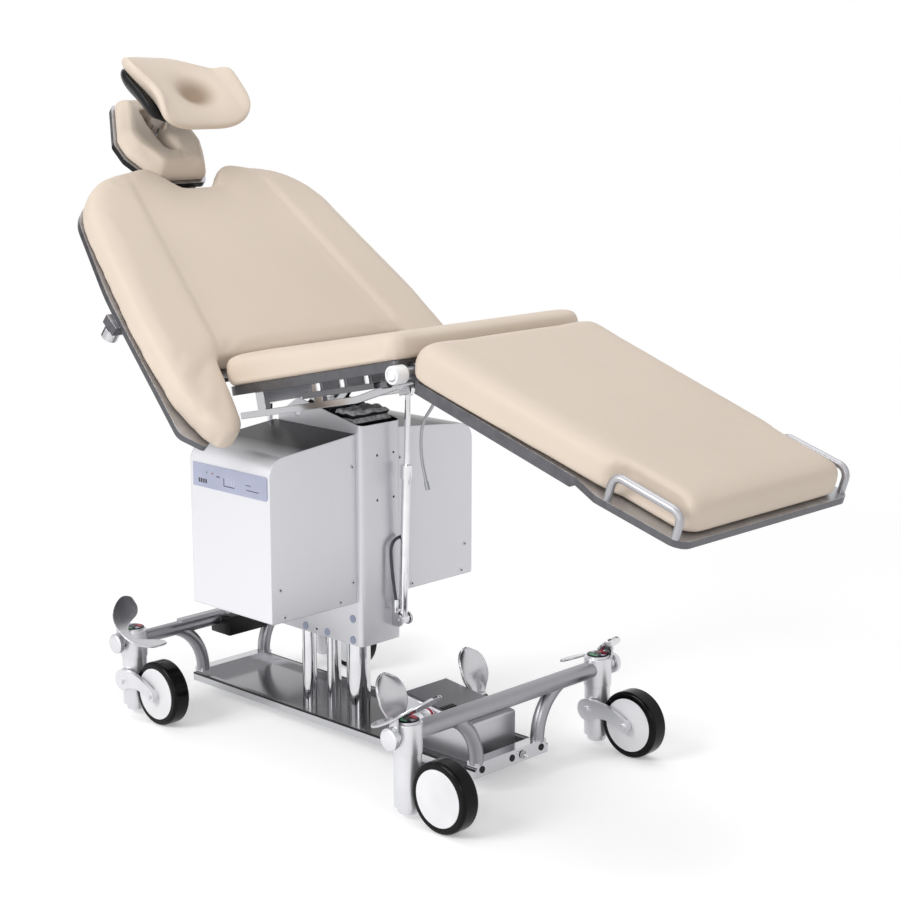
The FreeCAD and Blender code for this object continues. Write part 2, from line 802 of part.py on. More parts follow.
# Brackets on the casing that carry the feet of the gas springs
def spring_bracket(x, z, y, wall_x):
    cheek = 4.0
    apart = spring_tube_dia / 2 + 2.0
    cheeks = []
    for sy in (-1, 1):
        y0 = y + sy * (apart + cheek / 2) - cheek / 2
        plate = profile_y([
            (wall_x, z - 12),
            (x, z - 12),
            (x, z + 6),
            (wall_x + 0.3 * (x - wall_x), z + 34),
            (wall_x, z + 34),
        ], y0, y0 + cheek)
        nose = rod((x, y0, z), (x, y0 + cheek, z), 24)
        cheeks.append(fuse([plate, nose]))
    thick = 4.0 if x > wall_x else -4.0
    b0, b1 = sorted((wall_x, wall_x + thick))
    back = box(b0, b1, y - apart - cheek, y + apart + cheek, z - 12, z + 34)
    pin = rod((x, y - apart - cheek - 2, z), (x, y + apart + cheek + 2, z), pin_dia)
    return fuse(cheeks + [back, pin])


nodes["spring_brackets"] = Part.makeCompound([
    spring_bracket(front_foot_x, front_foot_z, front_y, column_x1),
    spring_bracket(rear_x, front_foot_z, rear_y, column_x0),
])


# Gas springs
def gas_spring(foot, top, y, tube_length):
    """Cylinder with its foot eye on the bracket pin, and a rod whose top eye has play on the seat pin."""
    a = Vector(foot[0], y, foot[1])
    b = Vector(top[0], y, top[1])
    line = b - a
    length = line.Length
    line.normalize()

    def along(distance):
        return tuple(a + line * distance)

    half = spring_tube_dia / 2 + 0.5
    eye = rod((foot[0], y - half, foot[1]), (foot[0], y + half, foot[1]), 18)
    tube = rod(along(6), along(tube_length), spring_tube_dia)
    collar = rod(along(tube_length - 26), along(tube_length), spring_tube_dia + 5)
    cylinder = fuse([eye, tube, collar])
    pin_hole = rod((foot[0], y - 40, foot[1]), (foot[0], y + 40, foot[1]), pin_dia + 2 * running)
    cylinder = cylinder.cut(pin_hole)
    cylinder = cylinder.cut(rod(along(30), along(tube_length + 1), spring_rod_dia + 2 * running))
    shaft = rod(along(rod_start), along(length - eye_dia / 2 + 2), spring_rod_dia)
    ring = rod((top[0], y - 5, top[1]), (top[0], y + 5, top[1]), eye_dia)
    piston = fuse([shaft, ring])
    piston = piston.cut(rod((top[0], y - 9, top[1]), (top[0], y + 9, top[1]), pin_dia + 2 * eye_play))
    return cylinder, piston


front = gas_spring((front_foot_x, front_foot_z), (front_top_x, front_top_z), front_y, spring_tube_length)
rear = gas_spring((rear_x, front_foot_z), (rear_x, rear_top_z), rear_y, spring_tube_length)
nodes["front_spring_tube"], nodes["front_spring_rod"] = front
nodes["rear_spring_tube"], nodes["rear_spring_rod"] = rear


# Bent tube of straight runs joined by tangent arcs
def bent_tube(route, reaches, dia):
    points = [Vector(*p) for p in route]
    edges = []
    radii = []
    last = points[0]
    for before, here, after, reach in zip(points, points[1:], points[2:], reaches):
        back = before - here
        on = after - here
        back.normalize()
        on.normalize()
        half = back.getAngle(on) / 2
        radius = reach * math.tan(half)
        radii.append(radius)
        middle = back + on
        middle.normalize()
        start = here + back * reach
        end = here + on * reach
        top = here + middle * (radius / math.sin(half) - radius)
        edges.append(Part.LineSegment(last, start).toShape())
        edges.append(Part.Arc(start, top, end).toShape())
        last = end
    edges.append(Part.LineSegment(last, points[-1]).toShape())
    ring = Part.Wire([Part.Circle(points[0], points[1] - points[0], dia / 2).toShape()])
    return Part.Wire(edges).makePipeShell([ring], True, False), radii


# Release hose: up beside the front gas spring, then hooked over behind it
hose_dia = 6.0
hose_x = front_foot_x + 1.0
hose_y = front_y - spring_tube_dia / 2 - hose_dia - 5.0
hose_back_x = front_foot_x - spring_tube_dia / 2 + hose_dia / 2 - 0.5
hose_top_z = front_foot_z + 159.0


def hose():
    port_z = front_foot_z + 20
    low = (hose_x, hose_y, port_z + 20)
    bow = (hose_back_x + 0.5, hose_y - 6, port_z + 85)
    corner = (hose_back_x, hose_y - 6, hose_top_z)
    end = (hose_back_x, front_y, hose_top_z)
    tube, radii = bent_tube([low, bow, corner, end], [16.0, 20.0], hose_dia)
    print("hose radii", [round(r) for r in radii])
    ferrule = rod((hose_x, hose_y, port_z - 4), (hose_x, hose_y, port_z + 22), hose_dia + 3)
    valve_arm = rod((hose_x, hose_y, port_z), (hose_x, front_y, port_z), 7)
    clip = rod(end, (front_foot_x + 6, front_y, hose_top_z), hose_dia)
    ball = Part.makeSphere(hose_dia / 2, Vector(*end))
    return fuse([tube, ferrule, valve_arm, clip, ball])


nodes["release_hose"] = hose().cut(rod(
    (front_foot_x, front_y, front_foot_z), (front_top_x, front_y, front_top_z), spring_tube_dia))

# Seat frame: cross members, side bars, tilt yoke and lugs
plate_w = -seat_plate_thickness
low_w = plate_w - frame_depth
rear_u = 45.0
front_u, front_pin_w = seat_local(front_top_x, front_top_z)
outrig_u, outrig_w = seat_local(rear_x, rear_top_z)
bar_low = -side_bar_drop - 6.0
bar_high = -side_bar_drop + 6.0
bar_half = 6.0
bar_bend_u = 300.0
bar_end_u = leg_hinge_u - 18.0
frame_parts = []
for u in (rear_u, front_u):
    frame_parts.append(box(u - 11, u + 11, -side_bar_y - bar_half, side_bar_y + bar_half, low_w, plate_w))
for sy in (-1, 1):
    y0, y1 = sorted((sy * (side_bar_y - bar_half), sy * (side_bar_y + bar_half)))
    frame_parts.append(profile_y([
        (-18, bar_low),
        (bar_bend_u, bar_low),
        (bar_end_u, leg_hinge_w - 18),
        (bar_end_u, leg_hinge_w - 4),
        (bar_bend_u, bar_high),
        (-18, bar_high),
    ], y0, y1))
    for u in (rear_u, front_u):
        frame_parts.append(box(u - 11, u + 11, y0, y1, bar_low, plate_w))
    lug_y = front_y + sy * 10.0
    frame_parts.append(box(front_u - 12, front_u + 12, lug_y - 3, lug_y + 3, front_pin_w - 10, plate_w))
    lug_y = rear_y + sy * 10.0
    frame_parts.append(box(outrig_u - 12, outrig_u + 12, lug_y - 3, lug_y + 3, outrig_w - 10, plate_w - 1))
frame_parts.append(rod((front_u, front_y - 12, front_pin_w), (front_u, front_y + 12, front_pin_w), pin_dia))
frame_parts.append(rod((outrig_u, rear_y - 12, outrig_w), (outrig_u, rear_y + 12, outrig_w), pin_dia))
outrig_half = 13.0
outrig = box(outrig_u - 12, rear_u, rear_y - outrig_half, rear_y + outrig_half, plate_w - 13, plate_w - 1)
outrig = outrig.cut(box(outrig_u - 16, outrig_u + 16, rear_y - 7, rear_y + 7, plate_w - 40, plate_w))
frame_parts.append(outrig)
axle_u, axle_w = seat_local(tilt_axle_x, tilt_axle_z)
for sy in (-1, 1):
    y0, y1 = sorted((sy * 33.0, sy * 42.0))
    yoke = profile_y([
        (axle_u - 18, axle_w - 6),
        (axle_u + 18, axle_w - 6),
        (rear_u + 11, low_w + 1),
        (rear_u - 11, low_w + 1),
    ], y0, y1)
    frame_parts.append(yoke)
    frame_parts.append(rod((axle_u, y0, axle_w), (axle_u, y1, axle_w), 38))
    axle_end = sy * (column_half_width - gap)
    frame_parts.append(rod((axle_u, sy * 33.0, axle_w), (axle_u, axle_end, axle_w), tilt_axle_dia))
nodes["seat_frame"] = laid_seat(fuse(frame_parts))

# Seat plate with the lugs of both hinges
plate_half = seat_half_width - seat_plate_inset
seat_plate = prism(
    [(16, -plate_half), (seat_end - 12, -plate_half), (seat_end - 12, plate_half), (16, plate_half)],
    [30.0, 14.0, 14.0, 30.0], plate_w, 0)
hinge_parts = [seat_plate]
knuckle_dia = 27.0
back_lugs = (96.0, 122.0)
leg_lugs = (222.0, 240.0)
for sy in (-1, 1):
    y0, y1 = sorted((sy * back_lugs[0], sy * back_lugs[1]))
    hinge_parts.append(box(0, 40, y0, y1, plate_w + 2, -2))
    hinge_parts.append(rod((0, y0, 0), (0, y1, 0), knuckle_dia))
    y0, y1 = sorted((sy * leg_lugs[0], sy * leg_lugs[1]))
    hinge_parts.append(box(leg_hinge_u - 22, leg_hinge_u, y0, y1, leg_hinge_w - 8, plate_w + 1))
    lug_dia = hinge_tube_dia + 8
    hinge_parts.append(rod((leg_hinge_u, y0, leg_hinge_w), (leg_hinge_u, y1, leg_hinge_w), lug_dia))
seat_plate = fuse(hinge_parts)
back_axle_half = 190.0
back_axle = rod((0, -back_axle_half, 0), (0, back_axle_half, 0), back_axle_dia)
leg_axle_ends = [(leg_hinge_u, sy * hinge_tube_half, leg_hinge_w) for sy in (-1, 1)]
leg_axle = rod(leg_axle_ends[0], leg_axle_ends[1], hinge_tube_dia)
seat_plate = seat_plate.cut(back_axle).cut(leg_axle)
leg_knuckle_dia = hinge_tube_dia + 10.0
leg_knuckles = (150.0, 200.0)
for sy in (-1, 1):
    ends = [(leg_hinge_u, sy * (y + grow), leg_hinge_w) for y, grow in zip(leg_knuckles, (-1, 1))]
    seat_plate = seat_plate.cut(rod(ends[0], ends[1], leg_knuckle_dia + 2))
nodes["hinge_axles"] = laid_seat(Part.makeCompound([back_axle, leg_axle]))

seat_outline = [
    (seat_start, -seat_half_width),
    (seat_end, -seat_half_width),
    (seat_end, seat_half_width),
    (seat_start, seat_half_width),
]
seat_cushion = padded(seat_outline, [30.0] * 4, seat_thickness, 80.0, 5.0)
seat_wedge = profile_y([
    (seat_start + 0.2 * (seat_end - seat_start), seat_thickness + 1),
    (seat_end + 20, seat_front_thickness),
    (seat_end + 20, seat_thickness + 40),
    (seat_start, seat_thickness + 40),
], -400, 400)
nodes["seat_cushion"] = laid_seat(seat_cushion.cut(seat_wedge))

rails = []
rail_top = plate_w - rail_drop
for sy in (-1, 1):
    y = sy * (plate_half - 6)
    y0 = y - rail_width / 2
    rail_end = rail_start + rail_length
    pieces = [box(rail_start, rail_end, y0, y0 + rail_width, rail_top - rail_thickness, rail_top)]
    for share in (0.16, 0.5, 0.84):
        u = rail_start + share * rail_length
        pieces.append(rod((u, y - sy * 4, rail_top - 2), (u, y - sy * 4, plate_w), 12))
    middle_w = rail_top - rail_thickness / 2
    pieces.append(rod((rail_end - 4, y, middle_w), (rail_end + 12, y, middle_w), 8))
    pieces.append(rod((rail_end + 10, y, middle_w), (rail_end + 26, y, middle_w), 15))
    rails.append(fuse(pieces))
nodes["accessory_rails"] = laid_seat(Part.makeCompound(rails))


# Release lever hanging under the seat plate, on its own pivot ear
lever_u, lever_y = 272.0, 58.0
pivot_w = plate_w - 16.0


def release_lever():
    dia = 6.0
    route = [
        (lever_u, lever_y, pivot_w),
        (lever_u - 20, lever_y, pivot_w - 51),
        (lever_u - 66, lever_y, pivot_w - 87),
        (lever_u - 82, lever_y, pivot_w - 147),
        (lever_u - 77, lever_y, pivot_w - 212),
    ]
    tube, radii = bent_tube(route, [24.0, 26.0, 28.0], dia)
    print("lever radii", [round(r) for r in radii])
    tip = Vector(*route[-1])
    run = tip - Vector(*route[-2])
    run.normalize()
    ferrule = rod(tuple(tip - run * 16), tuple(tip), dia + 3)
    hub = rod((lever_u, lever_y - 6, pivot_w), (lever_u, lever_y + 6, pivot_w), 16)
    whole = fuse([tube, ferrule, hub])
    return whole.cut(rod((lever_u, lever_y - 20, pivot_w), (lever_u, lever_y + 20, pivot_w), 6 + 2 * running))


nodes["release_lever"] = laid_seat(release_lever())
lever_ears = [rod((lever_u, lever_y - 11, pivot_w), (lever_u, lever_y + 11, pivot_w), 6)]
for sy in (-1, 1):
    y0, y1 = sorted((lever_y + sy * (6 + gap), lever_y + sy * 11))
    lever_ears.append(box(lever_u - 8, lever_u + 8, y0, y1, pivot_w - 7, plate_w))
nodes["seat_plate"] = laid_seat(fuse([seat_plate] + lever_ears))

# Leg section
leg_top = leg_plate_top
leg_bottom = leg_plate_top - leg_plate_thickness
plate_half_outline = [
    (18.0, leg_plate_half),
    (leg_step_u, leg_plate_half),
    (leg_step_u + leg_step_length, leg_plate_wide),
    (leg_length, leg_plate_foot),
]
leg_outline = [(u, -y) for u, y in plate_half_outline] + [(u, y) for u, y in reversed(plate_half_outline)]
leg_plate = prism(leg_outline, [10.0, 20.0, 20.0, 26.0, 26.0, 20.0, 20.0, 10.0], leg_bottom, leg_top)
knuckles = []
for sy in (-1, 1):
    y0, y1 = sorted((sy * leg_knuckles[0], sy * leg_knuckles[1]))
    knuckles.append(rod((0, y0, 0), (0, y1, 0), leg_knuckle_dia))
    knuckles.append(box(0, 40, y0, y1, leg_bottom, leg_top))
    y0, y1 = sorted((sy * leg_plate_half, sy * (leg_plate_half - leg_bar_width)))
    knuckles.append(box(28, leg_step_u - 6, y0, y1, leg_bottom - leg_bar_depth, leg_bottom + 1))
leg_plate = fuse([leg_plate] + knuckles)
leg_plate = leg_plate.cut(rod((0, -300, 0), (0, 300, 0), hinge_tube_dia + 2 * running))
handle_u1 = leg_length - 17.0
handle_u0 = handle_u1 - handle_length
nodes["leg_plate"] = laid_leg(leg_plate)


def u_handle():
    bend = 18.0
    top = leg_top + handle_height
    turn = bend * (1 - math.sqrt(0.5))
    path = Part.Wire([
        Part.LineSegment(Vector(handle_u0, 0, leg_top), Vector(handle_u0, 0, top - bend)).toShape(),
        Part.Arc(Vector(handle_u0, 0, top - bend), Vector(handle_u0 + turn, 0, top - turn),
                 Vector(handle_u0 + bend, 0, top)).toShape(),
        Part.LineSegment(Vector(handle_u0 + bend, 0, top), Vector(handle_u1 - bend, 0, top)).toShape(),
        Part.Arc(Vector(handle_u1 - bend, 0, top), Vector(handle_u1 - turn, 0, top - turn),
                 Vector(handle_u1, 0, top - bend)).toShape(),
        Part.LineSegment(Vector(handle_u1, 0, top - bend), Vector(handle_u1, 0, leg_top)).toShape(),
    ])
    ring = Part.Wire([Part.Circle(Vector(handle_u0, 0, leg_top), Vector(0, 0, 1), handle_dia / 2).toShape()])
    return path.makePipeShell([ring], True, False).translated(Vector(0, -handle_y, 0))


nodes["leg_handles"] = laid_leg(Part.makeCompound(both_sides(u_handle())))


def leg_cushion():
    end_u = leg_cushion_start + leg_cushion_length
    outline = [
        (leg_cushion_start, -leg_head_half),
        (end_u, -leg_foot_half),
        (end_u, leg_foot_half),
        (leg_cushion_start, leg_head_half),
    ]
    pad = padded(outline, [45.0, 40.0, 40.0, 45.0], leg_cushion_thickness, 75.0, 5.0)
    fall = leg_cushion_thickness - leg_foot_thickness
    wedge = profile_y([
        (leg_cushion_start + 0.3 * leg_cushion_length, leg_cushion_thickness + 1),
        (end_u + 20, leg_cushion_thickness - fall),
        (end_u + 20, leg_cushion_thickness + 40),
        (leg_cushion_start, leg_cushion_thickness + 40),
    ], -400, 400)
    pad = pad.cut(wedge)
    scoop_r = 42.0
    for sy in (-1, 1):
        ends = [Vector(u, sy * (handle_y + 6), 28) for u in (handle_u0 + 14, handle_u1 - 34)]
        scoop = Part.makeCylinder(scoop_r, (ends[1] - ends[0]).Length, ends[0], ends[1] - ends[0])
        scoop = scoop.fuse([Part.makeSphere(scoop_r, end) for end in ends])
        pad = pad.cut(scoop)
    relief = rod((0, -400, 0), (0, 400, 0), leg_knuckle_dia + 4)
    return pad.translated(Vector(0, 0, leg_top)).cut(relief)


nodes["leg_cushion"] = laid_leg(leg_cushion())


# Backrest
def mirrored_outline(half):
    """Counter-clockwise outline from a half given from the head end to the seat end."""
    return [(t, -y) for t, y in reversed(half)] + list(half)


back_half = [
    (notch_bottom, notch_half),
    (back_top, notch_top_half),
    (back_top - 45, back_top_half),
    (150.0, lobe_outer - 15),
    (-30.0, lobe_outer),
    (lobe_end + 41, lobe_outer - 17),
    (lobe_end, lobe_inner + 39),
    (lobe_end + 31, lobe_inner),
    (back_centre, lobe_root),
]
back_radii = [14.0, 40.0, 150.0, 400.0, 150.0, 60.0, 22.0, 40.0, 18.0]
back_outline = mirrored_outline(back_half)[::-1]
back_corner = (back_radii[::-1] + back_radii)[::-1]
if sum(turn_at(back_outline, i) for i in range(len(back_outline))) < 0:
    back_outline = back_outline[::-1]
    back_corner = back_corner[::-1]
back_cushion = padded(back_outline, back_corner, back_thickness, 26.0, 3.0)
for sy in (-1, 1):
    crease_h = back_thickness + crease_dia / 2 - crease_depth
    top_end = Vector(back_top - 75, sy * (notch_top_half + 67), crease_h)
    low_end = Vector(back_centre + 30, sy * (lobe_root - 20), crease_h)
    crease = Part.makeCylinder(crease_dia / 2, (low_end - top_end).Length, top_end, low_end - top_end)
    crease = crease.fuse([Part.makeSphere(crease_dia / 2, top_end), Part.makeSphere(crease_dia / 2, low_end)])
    back_cushion = back_cushion.cut(crease)
nodes["back_cushion"] = laid_back(back_cushion)

back_plate_half = [
    (notch_bottom - 6, notch_half - 6),
    (back_top - 25, notch_top_half - 4),
    (back_top - 60, back_top_half - 5),
    (250.0, lobe_outer - 28),
    (lobe_end + 67, lobe_outer + 14),
    (lobe_end + 29, lobe_outer - 21),
    (lobe_end + 41, lobe_outer - 39),
    (lobe_end + 63, lobe_inner + 23),
    (back_centre - 14, lobe_root + 24),
]
plate_radii = [12.0, 30.0, 100.0, 700.0, 25.0, 8.0, 6.0, 20.0, 12.0]
plate_outline = mirrored_outline(back_plate_half)[::-1]
plate_corner = (plate_radii[::-1] + plate_radii)[::-1]
if sum(turn_at(plate_outline, i) for i in range(len(plate_outline))) < 0:
    plate_outline = plate_outline[::-1]
    plate_corner = plate_corner[::-1]
back_plate = prism(plate_outline, plate_corner, -back_plate_thickness, 0)
ribs = []
for sy in (-1, 1):
    y0, y1 = sorted((sy * 140.0, sy * 165.0))
    ribs.append(box(40, 420, y0, y1, -back_plate_thickness - 24, -back_plate_thickness + 1))
    knuckle = sorted((sy * (back_lugs[1] + 6), sy * (back_lugs[1] + 56)))
    ribs.append(rod((0, knuckle[0], 0), (0, knuckle[1], 0), knuckle_dia))
    ribs.append(box(0, 60, knuckle[0], knuckle[1], -back_plate_thickness, -1))
neck_half = 24.0
neck = box(360, head_hinge_t, -neck_half, neck_half, -back_plate_thickness - 20, -back_plate_thickness + 1)
neck_eye = rod((head_hinge_t, -neck_half, head_hinge_h), (head_hinge_t, neck_half, head_hinge_h), 20)
neck = fuse([neck, neck_eye])
neck = neck.cut(rod((head_hinge_t, -60, head_hinge_h), (head_hinge_t, 60, head_hinge_h), 10 + 2 * running))
back_plate = fuse([back_plate, neck] + ribs)
back_plate = back_plate.cut(rod((0, -300, 0), (0, 300, 0), back_axle_dia + 2 * running))
knob_t, knob_y = 198.0, 338.0
knob_low = -back_plate_thickness - 18.0
stem_end = -back_plate_thickness - 10.0
knob_block = box(knob_t - 18, knob_t + 18, knob_y - 14, knob_y + 14, knob_low, -back_plate_thickness + 1)
knob_block = knob_block.cut(rod((knob_t, knob_y, knob_low - 1), (knob_t, knob_y, stem_end), 10 + 2 * running))
nodes["back_plate"] = laid_back(fuse([back_plate, knob_block]))
grip = rod((knob_t, knob_y, knob_low - 22), (knob_t, knob_y, knob_low - gap), 32)
grip = fuse([grip, rod((knob_t, knob_y, knob_low - 4), (knob_t, knob_y, stem_end - 0.5), 10)])
nodes["back_knob"] = laid_back(grip)

# Head section
head_half = [
    (head_end, head_end_half),
    (head_wide_end, head_wide_half),
    (head_wide_start, head_wide_half),
    (head_start, head_start_half),
]
head_outline = mirrored_outline(head_half)
head_corner = [12.0, 22.0, 22.0, 14.0]
head_corner = head_corner[::-1] + head_corner
if sum(turn_at(head_outline, i) for i in range(len(head_outline))) < 0:
    head_outline = head_outline[::-1]
    head_corner = head_corner[::-1]
slot_r = slot_width / 2


def slot_cut(radius, z0, z1):
    points = [(slot_start, -radius), (slot_end, -radius), (slot_end, radius), (slot_start, radius)]
    return prism(points, [radius * 0.98] * 4, z0, z1)


head_low = head_rise - back_plate_thickness
head_top = head_rise + head_thickness
head_cushion = padded(head_outline, head_corner, head_thickness, 26.0, 3.0).translated(Vector(0, 0, head_rise))
head_cushion = head_cushion.cut(slot_cut(slot_r, head_rise - 1, head_top + 5))
nodes["head_cushion"] = laid_back(head_cushion)
plate_points = inset_points(head_outline, -5.0)
head_plate = prism(plate_points, [r + 4 for r in head_corner], head_low, head_rise)
head_plate = head_plate.cut(slot_cut(slot_r - 2, head_low - 1, head_rise + 1))
fork = []
for sy in (-1, 1):
    y0, y1 = sorted((sy * (neck_half + gap), sy * (neck_half + 14)))
    fork.append(box(head_hinge_t, head_start + 20, y0, y1, head_hinge_h, head_low + 1))
    fork.append(rod((head_hinge_t, y0, head_hinge_h), (head_hinge_t, y1, head_hinge_h), 20))
fork_half = neck_half + 14
fork.append(rod((head_hinge_t, -fork_half, head_hinge_h), (head_hinge_t, fork_half, head_hinge_h), 10))
nodes["head_plate"] = laid_back(fuse([head_plate] + fork))

clamp_r = 20.0
clamp_low = head_top + 1.5
clamp_top = ball_h + 5.0
ball_r = ball_dia / 2
clamp = fuse([
    rod((ball_t, 0, clamp_low), (ball_t, 0, clamp_top), 2 * clamp_r),
    rod((ball_t, 0, head_low - gap), (ball_t, 0, clamp_low + 1), slot_width - 6),
    rod((ball_t, 0, head_low - 16), (ball_t, 0, head_low - gap), 38),
])
clamp = clamp.cut(Part.makeSphere(ball_r + 2 * running, Vector(ball_t, 0, ball_h)))
nodes["head_clamp"] = laid_back(clamp)
rest_axis_h = rest_floor_h + rest_inner_r
rest_outer_r = rest_inner_r + rest_thickness
shell_inner_r = rest_outer_r + gap
shell_outer_r = shell_inner_r + shell_thickness
rest_low = rest_axis_h - shell_outer_r
stud_dia = 13.0
stud_top = rest_low + 9.0
boss_low = ball_h + ball_r + 2.0
boss_top = stud_top + 4.0
boss_dia = 24.0
ball = fuse([
    Part.makeSphere(ball_r, Vector(ball_t, 0, ball_h)),
    rod((ball_t, 0, ball_h), (ball_t, 0, stud_top), stud_dia),
])
nodes["head_ball"] = laid_back(ball)


# Head rest: a padded dish with raised sides in a thin shell
def rest_plan(grow, low, high):
    length = rest_length / 2 + grow
    half = rest_half + grow
    plan = [
        (rest_t - length, -half),
        (rest_t + length, -half),
        (rest_t + length, half),
        (rest_t - length, half),
    ]
    return prism(plan, [rest_corner + grow] * 4, low, high)


def rest_tube(radius):
    return rod((rest_t - 200, 0, rest_axis_h), (rest_t + 200, 0, rest_axis_h), 2 * radius)


side_low = rest_axis_h - math.sqrt(shell_outer_r ** 2 - (rest_half + shell_thickness) ** 2)
rest_top = side_low + 80.0
pad = rest_plan(0, 0, rest_top).common(rest_tube(rest_outer_r)).cut(rest_tube(rest_inner_r))
dip_h = rest_floor_h + rest_dip_r - rest_dip
pad = pad.cut(Part.makeSphere(rest_dip_r, Vector(rest_t, 0, dip_h)))
pad = pad.cut(rod((ball_t, 0, 0), (ball_t, 0, boss_top + gap), boss_dia + 2 * gap))
nodes["head_rest_pad"] = laid_back(pad)
shell_rim_h = side_low + shell_side
straight = rest_length / 2 - rest_corner * 0.35
shell = rest_plan(gap + shell_thickness, 0, shell_rim_h).common(rest_tube(shell_outer_r))
shell = shell.cut(rest_plan(gap, 0, rest_top).common(rest_tube(shell_inner_r)))
shell = shell.cut(rest_tube(shell_inner_r - 0.5).common(box(
    rest_t - 200, rest_t - straight, -300, 300, 0, rest_top)))
shell = shell.cut(rest_tube(shell_inner_r - 0.5).common(box(
    rest_t + straight, rest_t + 200, -300, 300, 0, rest_top)))
boss = rod((ball_t, 0, boss_low), (ball_t, 0, boss_top), boss_dia)
shell = fuse([shell, boss])
shell = shell.cut(rod((ball_t, 0, boss_low - 1), (ball_t, 0, stud_top + 0.5), stud_dia + 2 * running))
hole_half = (wing_hole_length - wing_hole_height) / 2
reach = 2 * rest_half
wing_hole_h = side_low + 0.58 * shell_side
hole_low = wing_hole_h - wing_hole_height / 2
hole_high = hole_low + wing_hole_height
wing_hole = [box(rest_t - hole_half, rest_t + hole_half, -reach, reach, hole_low, hole_high)]
for t in (rest_t - hole_half, rest_t + hole_half):
    wing_hole.append(rod((t, -reach, wing_hole_h), (t, reach, wing_hole_h), wing_hole_height))
wing_hole = fuse(wing_hole).cut(box(rest_t - 200, rest_t + 200, -rest_half + 20, rest_half - 20, 0, rest_top))
shell = shell.cut(wing_hole)
nodes["head_rest_shell"] = laid_back(shell)

# One file for each piece, with the origin on the floor below the middle of the table
ends = [nodes["head_plate"].BoundBox, nodes["leg_plate"].BoundBox]
origin_x = (ends[0].XMin + ends[1].XMax) / 2
print("origin shift", round(origin_x, 4))
os.makedirs("parts", exist_ok=True)
for name, shape in nodes.items():
    shape.translate(Vector(-origin_x, 0, 0))
    shape.exportStep("parts/" + name + ".step")
    limits = shape.BoundBox
    print(name, len(shape.Solids), round(shape.Volume / 1000, 1), shape.isValid())
limits = Part.makeCompound(list(nodes.values())).BoundBox
print("nodes", len(nodes), "size", [round(v, 2) for v in (limits.XLength, limits.YLength, limits.ZLength)])
print("x", round(limits.XMin, 3), round(limits.XMax, 3), "z", round(limits.ZMin, 3))
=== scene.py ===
import json
import math

import bpy
from mathutils import Matrix, Vector, noise


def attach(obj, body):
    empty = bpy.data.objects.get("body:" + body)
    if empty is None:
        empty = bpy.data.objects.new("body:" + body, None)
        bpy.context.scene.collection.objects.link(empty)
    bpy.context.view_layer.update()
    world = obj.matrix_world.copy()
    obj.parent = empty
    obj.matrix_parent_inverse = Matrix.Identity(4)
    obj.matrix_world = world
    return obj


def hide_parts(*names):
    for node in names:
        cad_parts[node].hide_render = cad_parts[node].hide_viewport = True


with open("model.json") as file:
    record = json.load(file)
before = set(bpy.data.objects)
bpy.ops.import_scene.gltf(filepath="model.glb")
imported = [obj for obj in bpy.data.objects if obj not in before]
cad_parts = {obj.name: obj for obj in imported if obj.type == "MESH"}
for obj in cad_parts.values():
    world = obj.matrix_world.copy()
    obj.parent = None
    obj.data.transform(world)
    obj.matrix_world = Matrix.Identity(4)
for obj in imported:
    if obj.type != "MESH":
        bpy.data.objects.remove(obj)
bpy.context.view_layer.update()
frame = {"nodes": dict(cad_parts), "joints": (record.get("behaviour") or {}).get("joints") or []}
nodes = frame["nodes"]
jointPlace = {j["name"]: Vector(j.get("pos_m", (0, 0, 0))) for j in frame["joints"]}
shift = -0.1140921  # the frame stands this far along X from the drawing's own zero
print("frame loaded:", len(nodes), "nodes")


# Small tools for working on one piece at a time
def focus(piece):
    bpy.ops.object.select_all(action="DESELECT")
    piece.select_set(True)
    bpy.context.view_layer.objects.active = piece


def named(name):
    piece = bpy.context.object
    piece.name = name
    piece.data.name = name
    return piece


def pickEdges(piece, wanted):
    bpy.ops.object.mode_set(mode="EDIT")
    bpy.ops.mesh.select_mode(type="EDGE")
    bpy.ops.mesh.select_all(action="DESELECT")
    bpy.ops.object.mode_set(mode="OBJECT")
    points = piece.data.vertices
    for edge in piece.data.edges:
        edge.select = wanted(points[edge.vertices[0]].co, points[edge.vertices[1]].co)
    bpy.ops.object.mode_set(mode="EDIT")


def finishEdit():
    bpy.ops.object.mode_set(mode="OBJECT")


def editAll():
    bpy.ops.object.mode_set(mode="EDIT")
    bpy.ops.mesh.select_all(action="SELECT")


def facesOutward():
    bpy.ops.mesh.select_all(action="SELECT")
    bpy.ops.mesh.normals_make_consistent(inside=False)


def drawUp(height):
    editAll()
    bpy.ops.mesh.extrude_region_move(TRANSFORM_OT_translate={"value": (0, 0, height)})
    facesOutward()


def applyModifier(piece, modifier):
    focus(piece)
    bpy.ops.object.modifier_apply(modifier=modifier.name)


def subdivide(piece, levels):
    modifier = piece.modifiers.new("smooth", "SUBSURF")
    modifier.levels = levels
    modifier.render_levels = levels
    applyModifier(piece, modifier)


def evenMesh(piece, voxel, smoothing):
    modifier = piece.modifiers.new("even", "REMESH")
    modifier.mode = "VOXEL"
    modifier.voxel_size = voxel
    applyModifier(piece, modifier)
    if smoothing:
        modifier = piece.modifiers.new("soften", "SMOOTH")
        modifier.factor = 0.5
        modifier.iterations = smoothing
        applyModifier(piece, modifier)


def thicken(piece, thickness, edge):
    wall = piece.modifiers.new("wall", "SOLIDIFY")
    wall.thickness = thickness
    wall.offset = 0
    applyModifier(piece, wall)
    soft = piece.modifiers.new("edges", "BEVEL")
    soft.width = edge
    soft.segments = 2
    soft.angle_limit = math.radians(50)
    applyModifier(piece, soft)


def smoothShade(piece, angle=None):
    focus(piece)
    if angle is None:
        bpy.ops.object.shade_smooth()
    else:
        bpy.ops.object.shade_smooth_by_angle(angle=math.radians(angle))


def settle(piece, matrix):
    piece.matrix_world = matrix
    focus(piece)
    bpy.ops.object.transform_apply(location=True, rotation=True, scale=True)


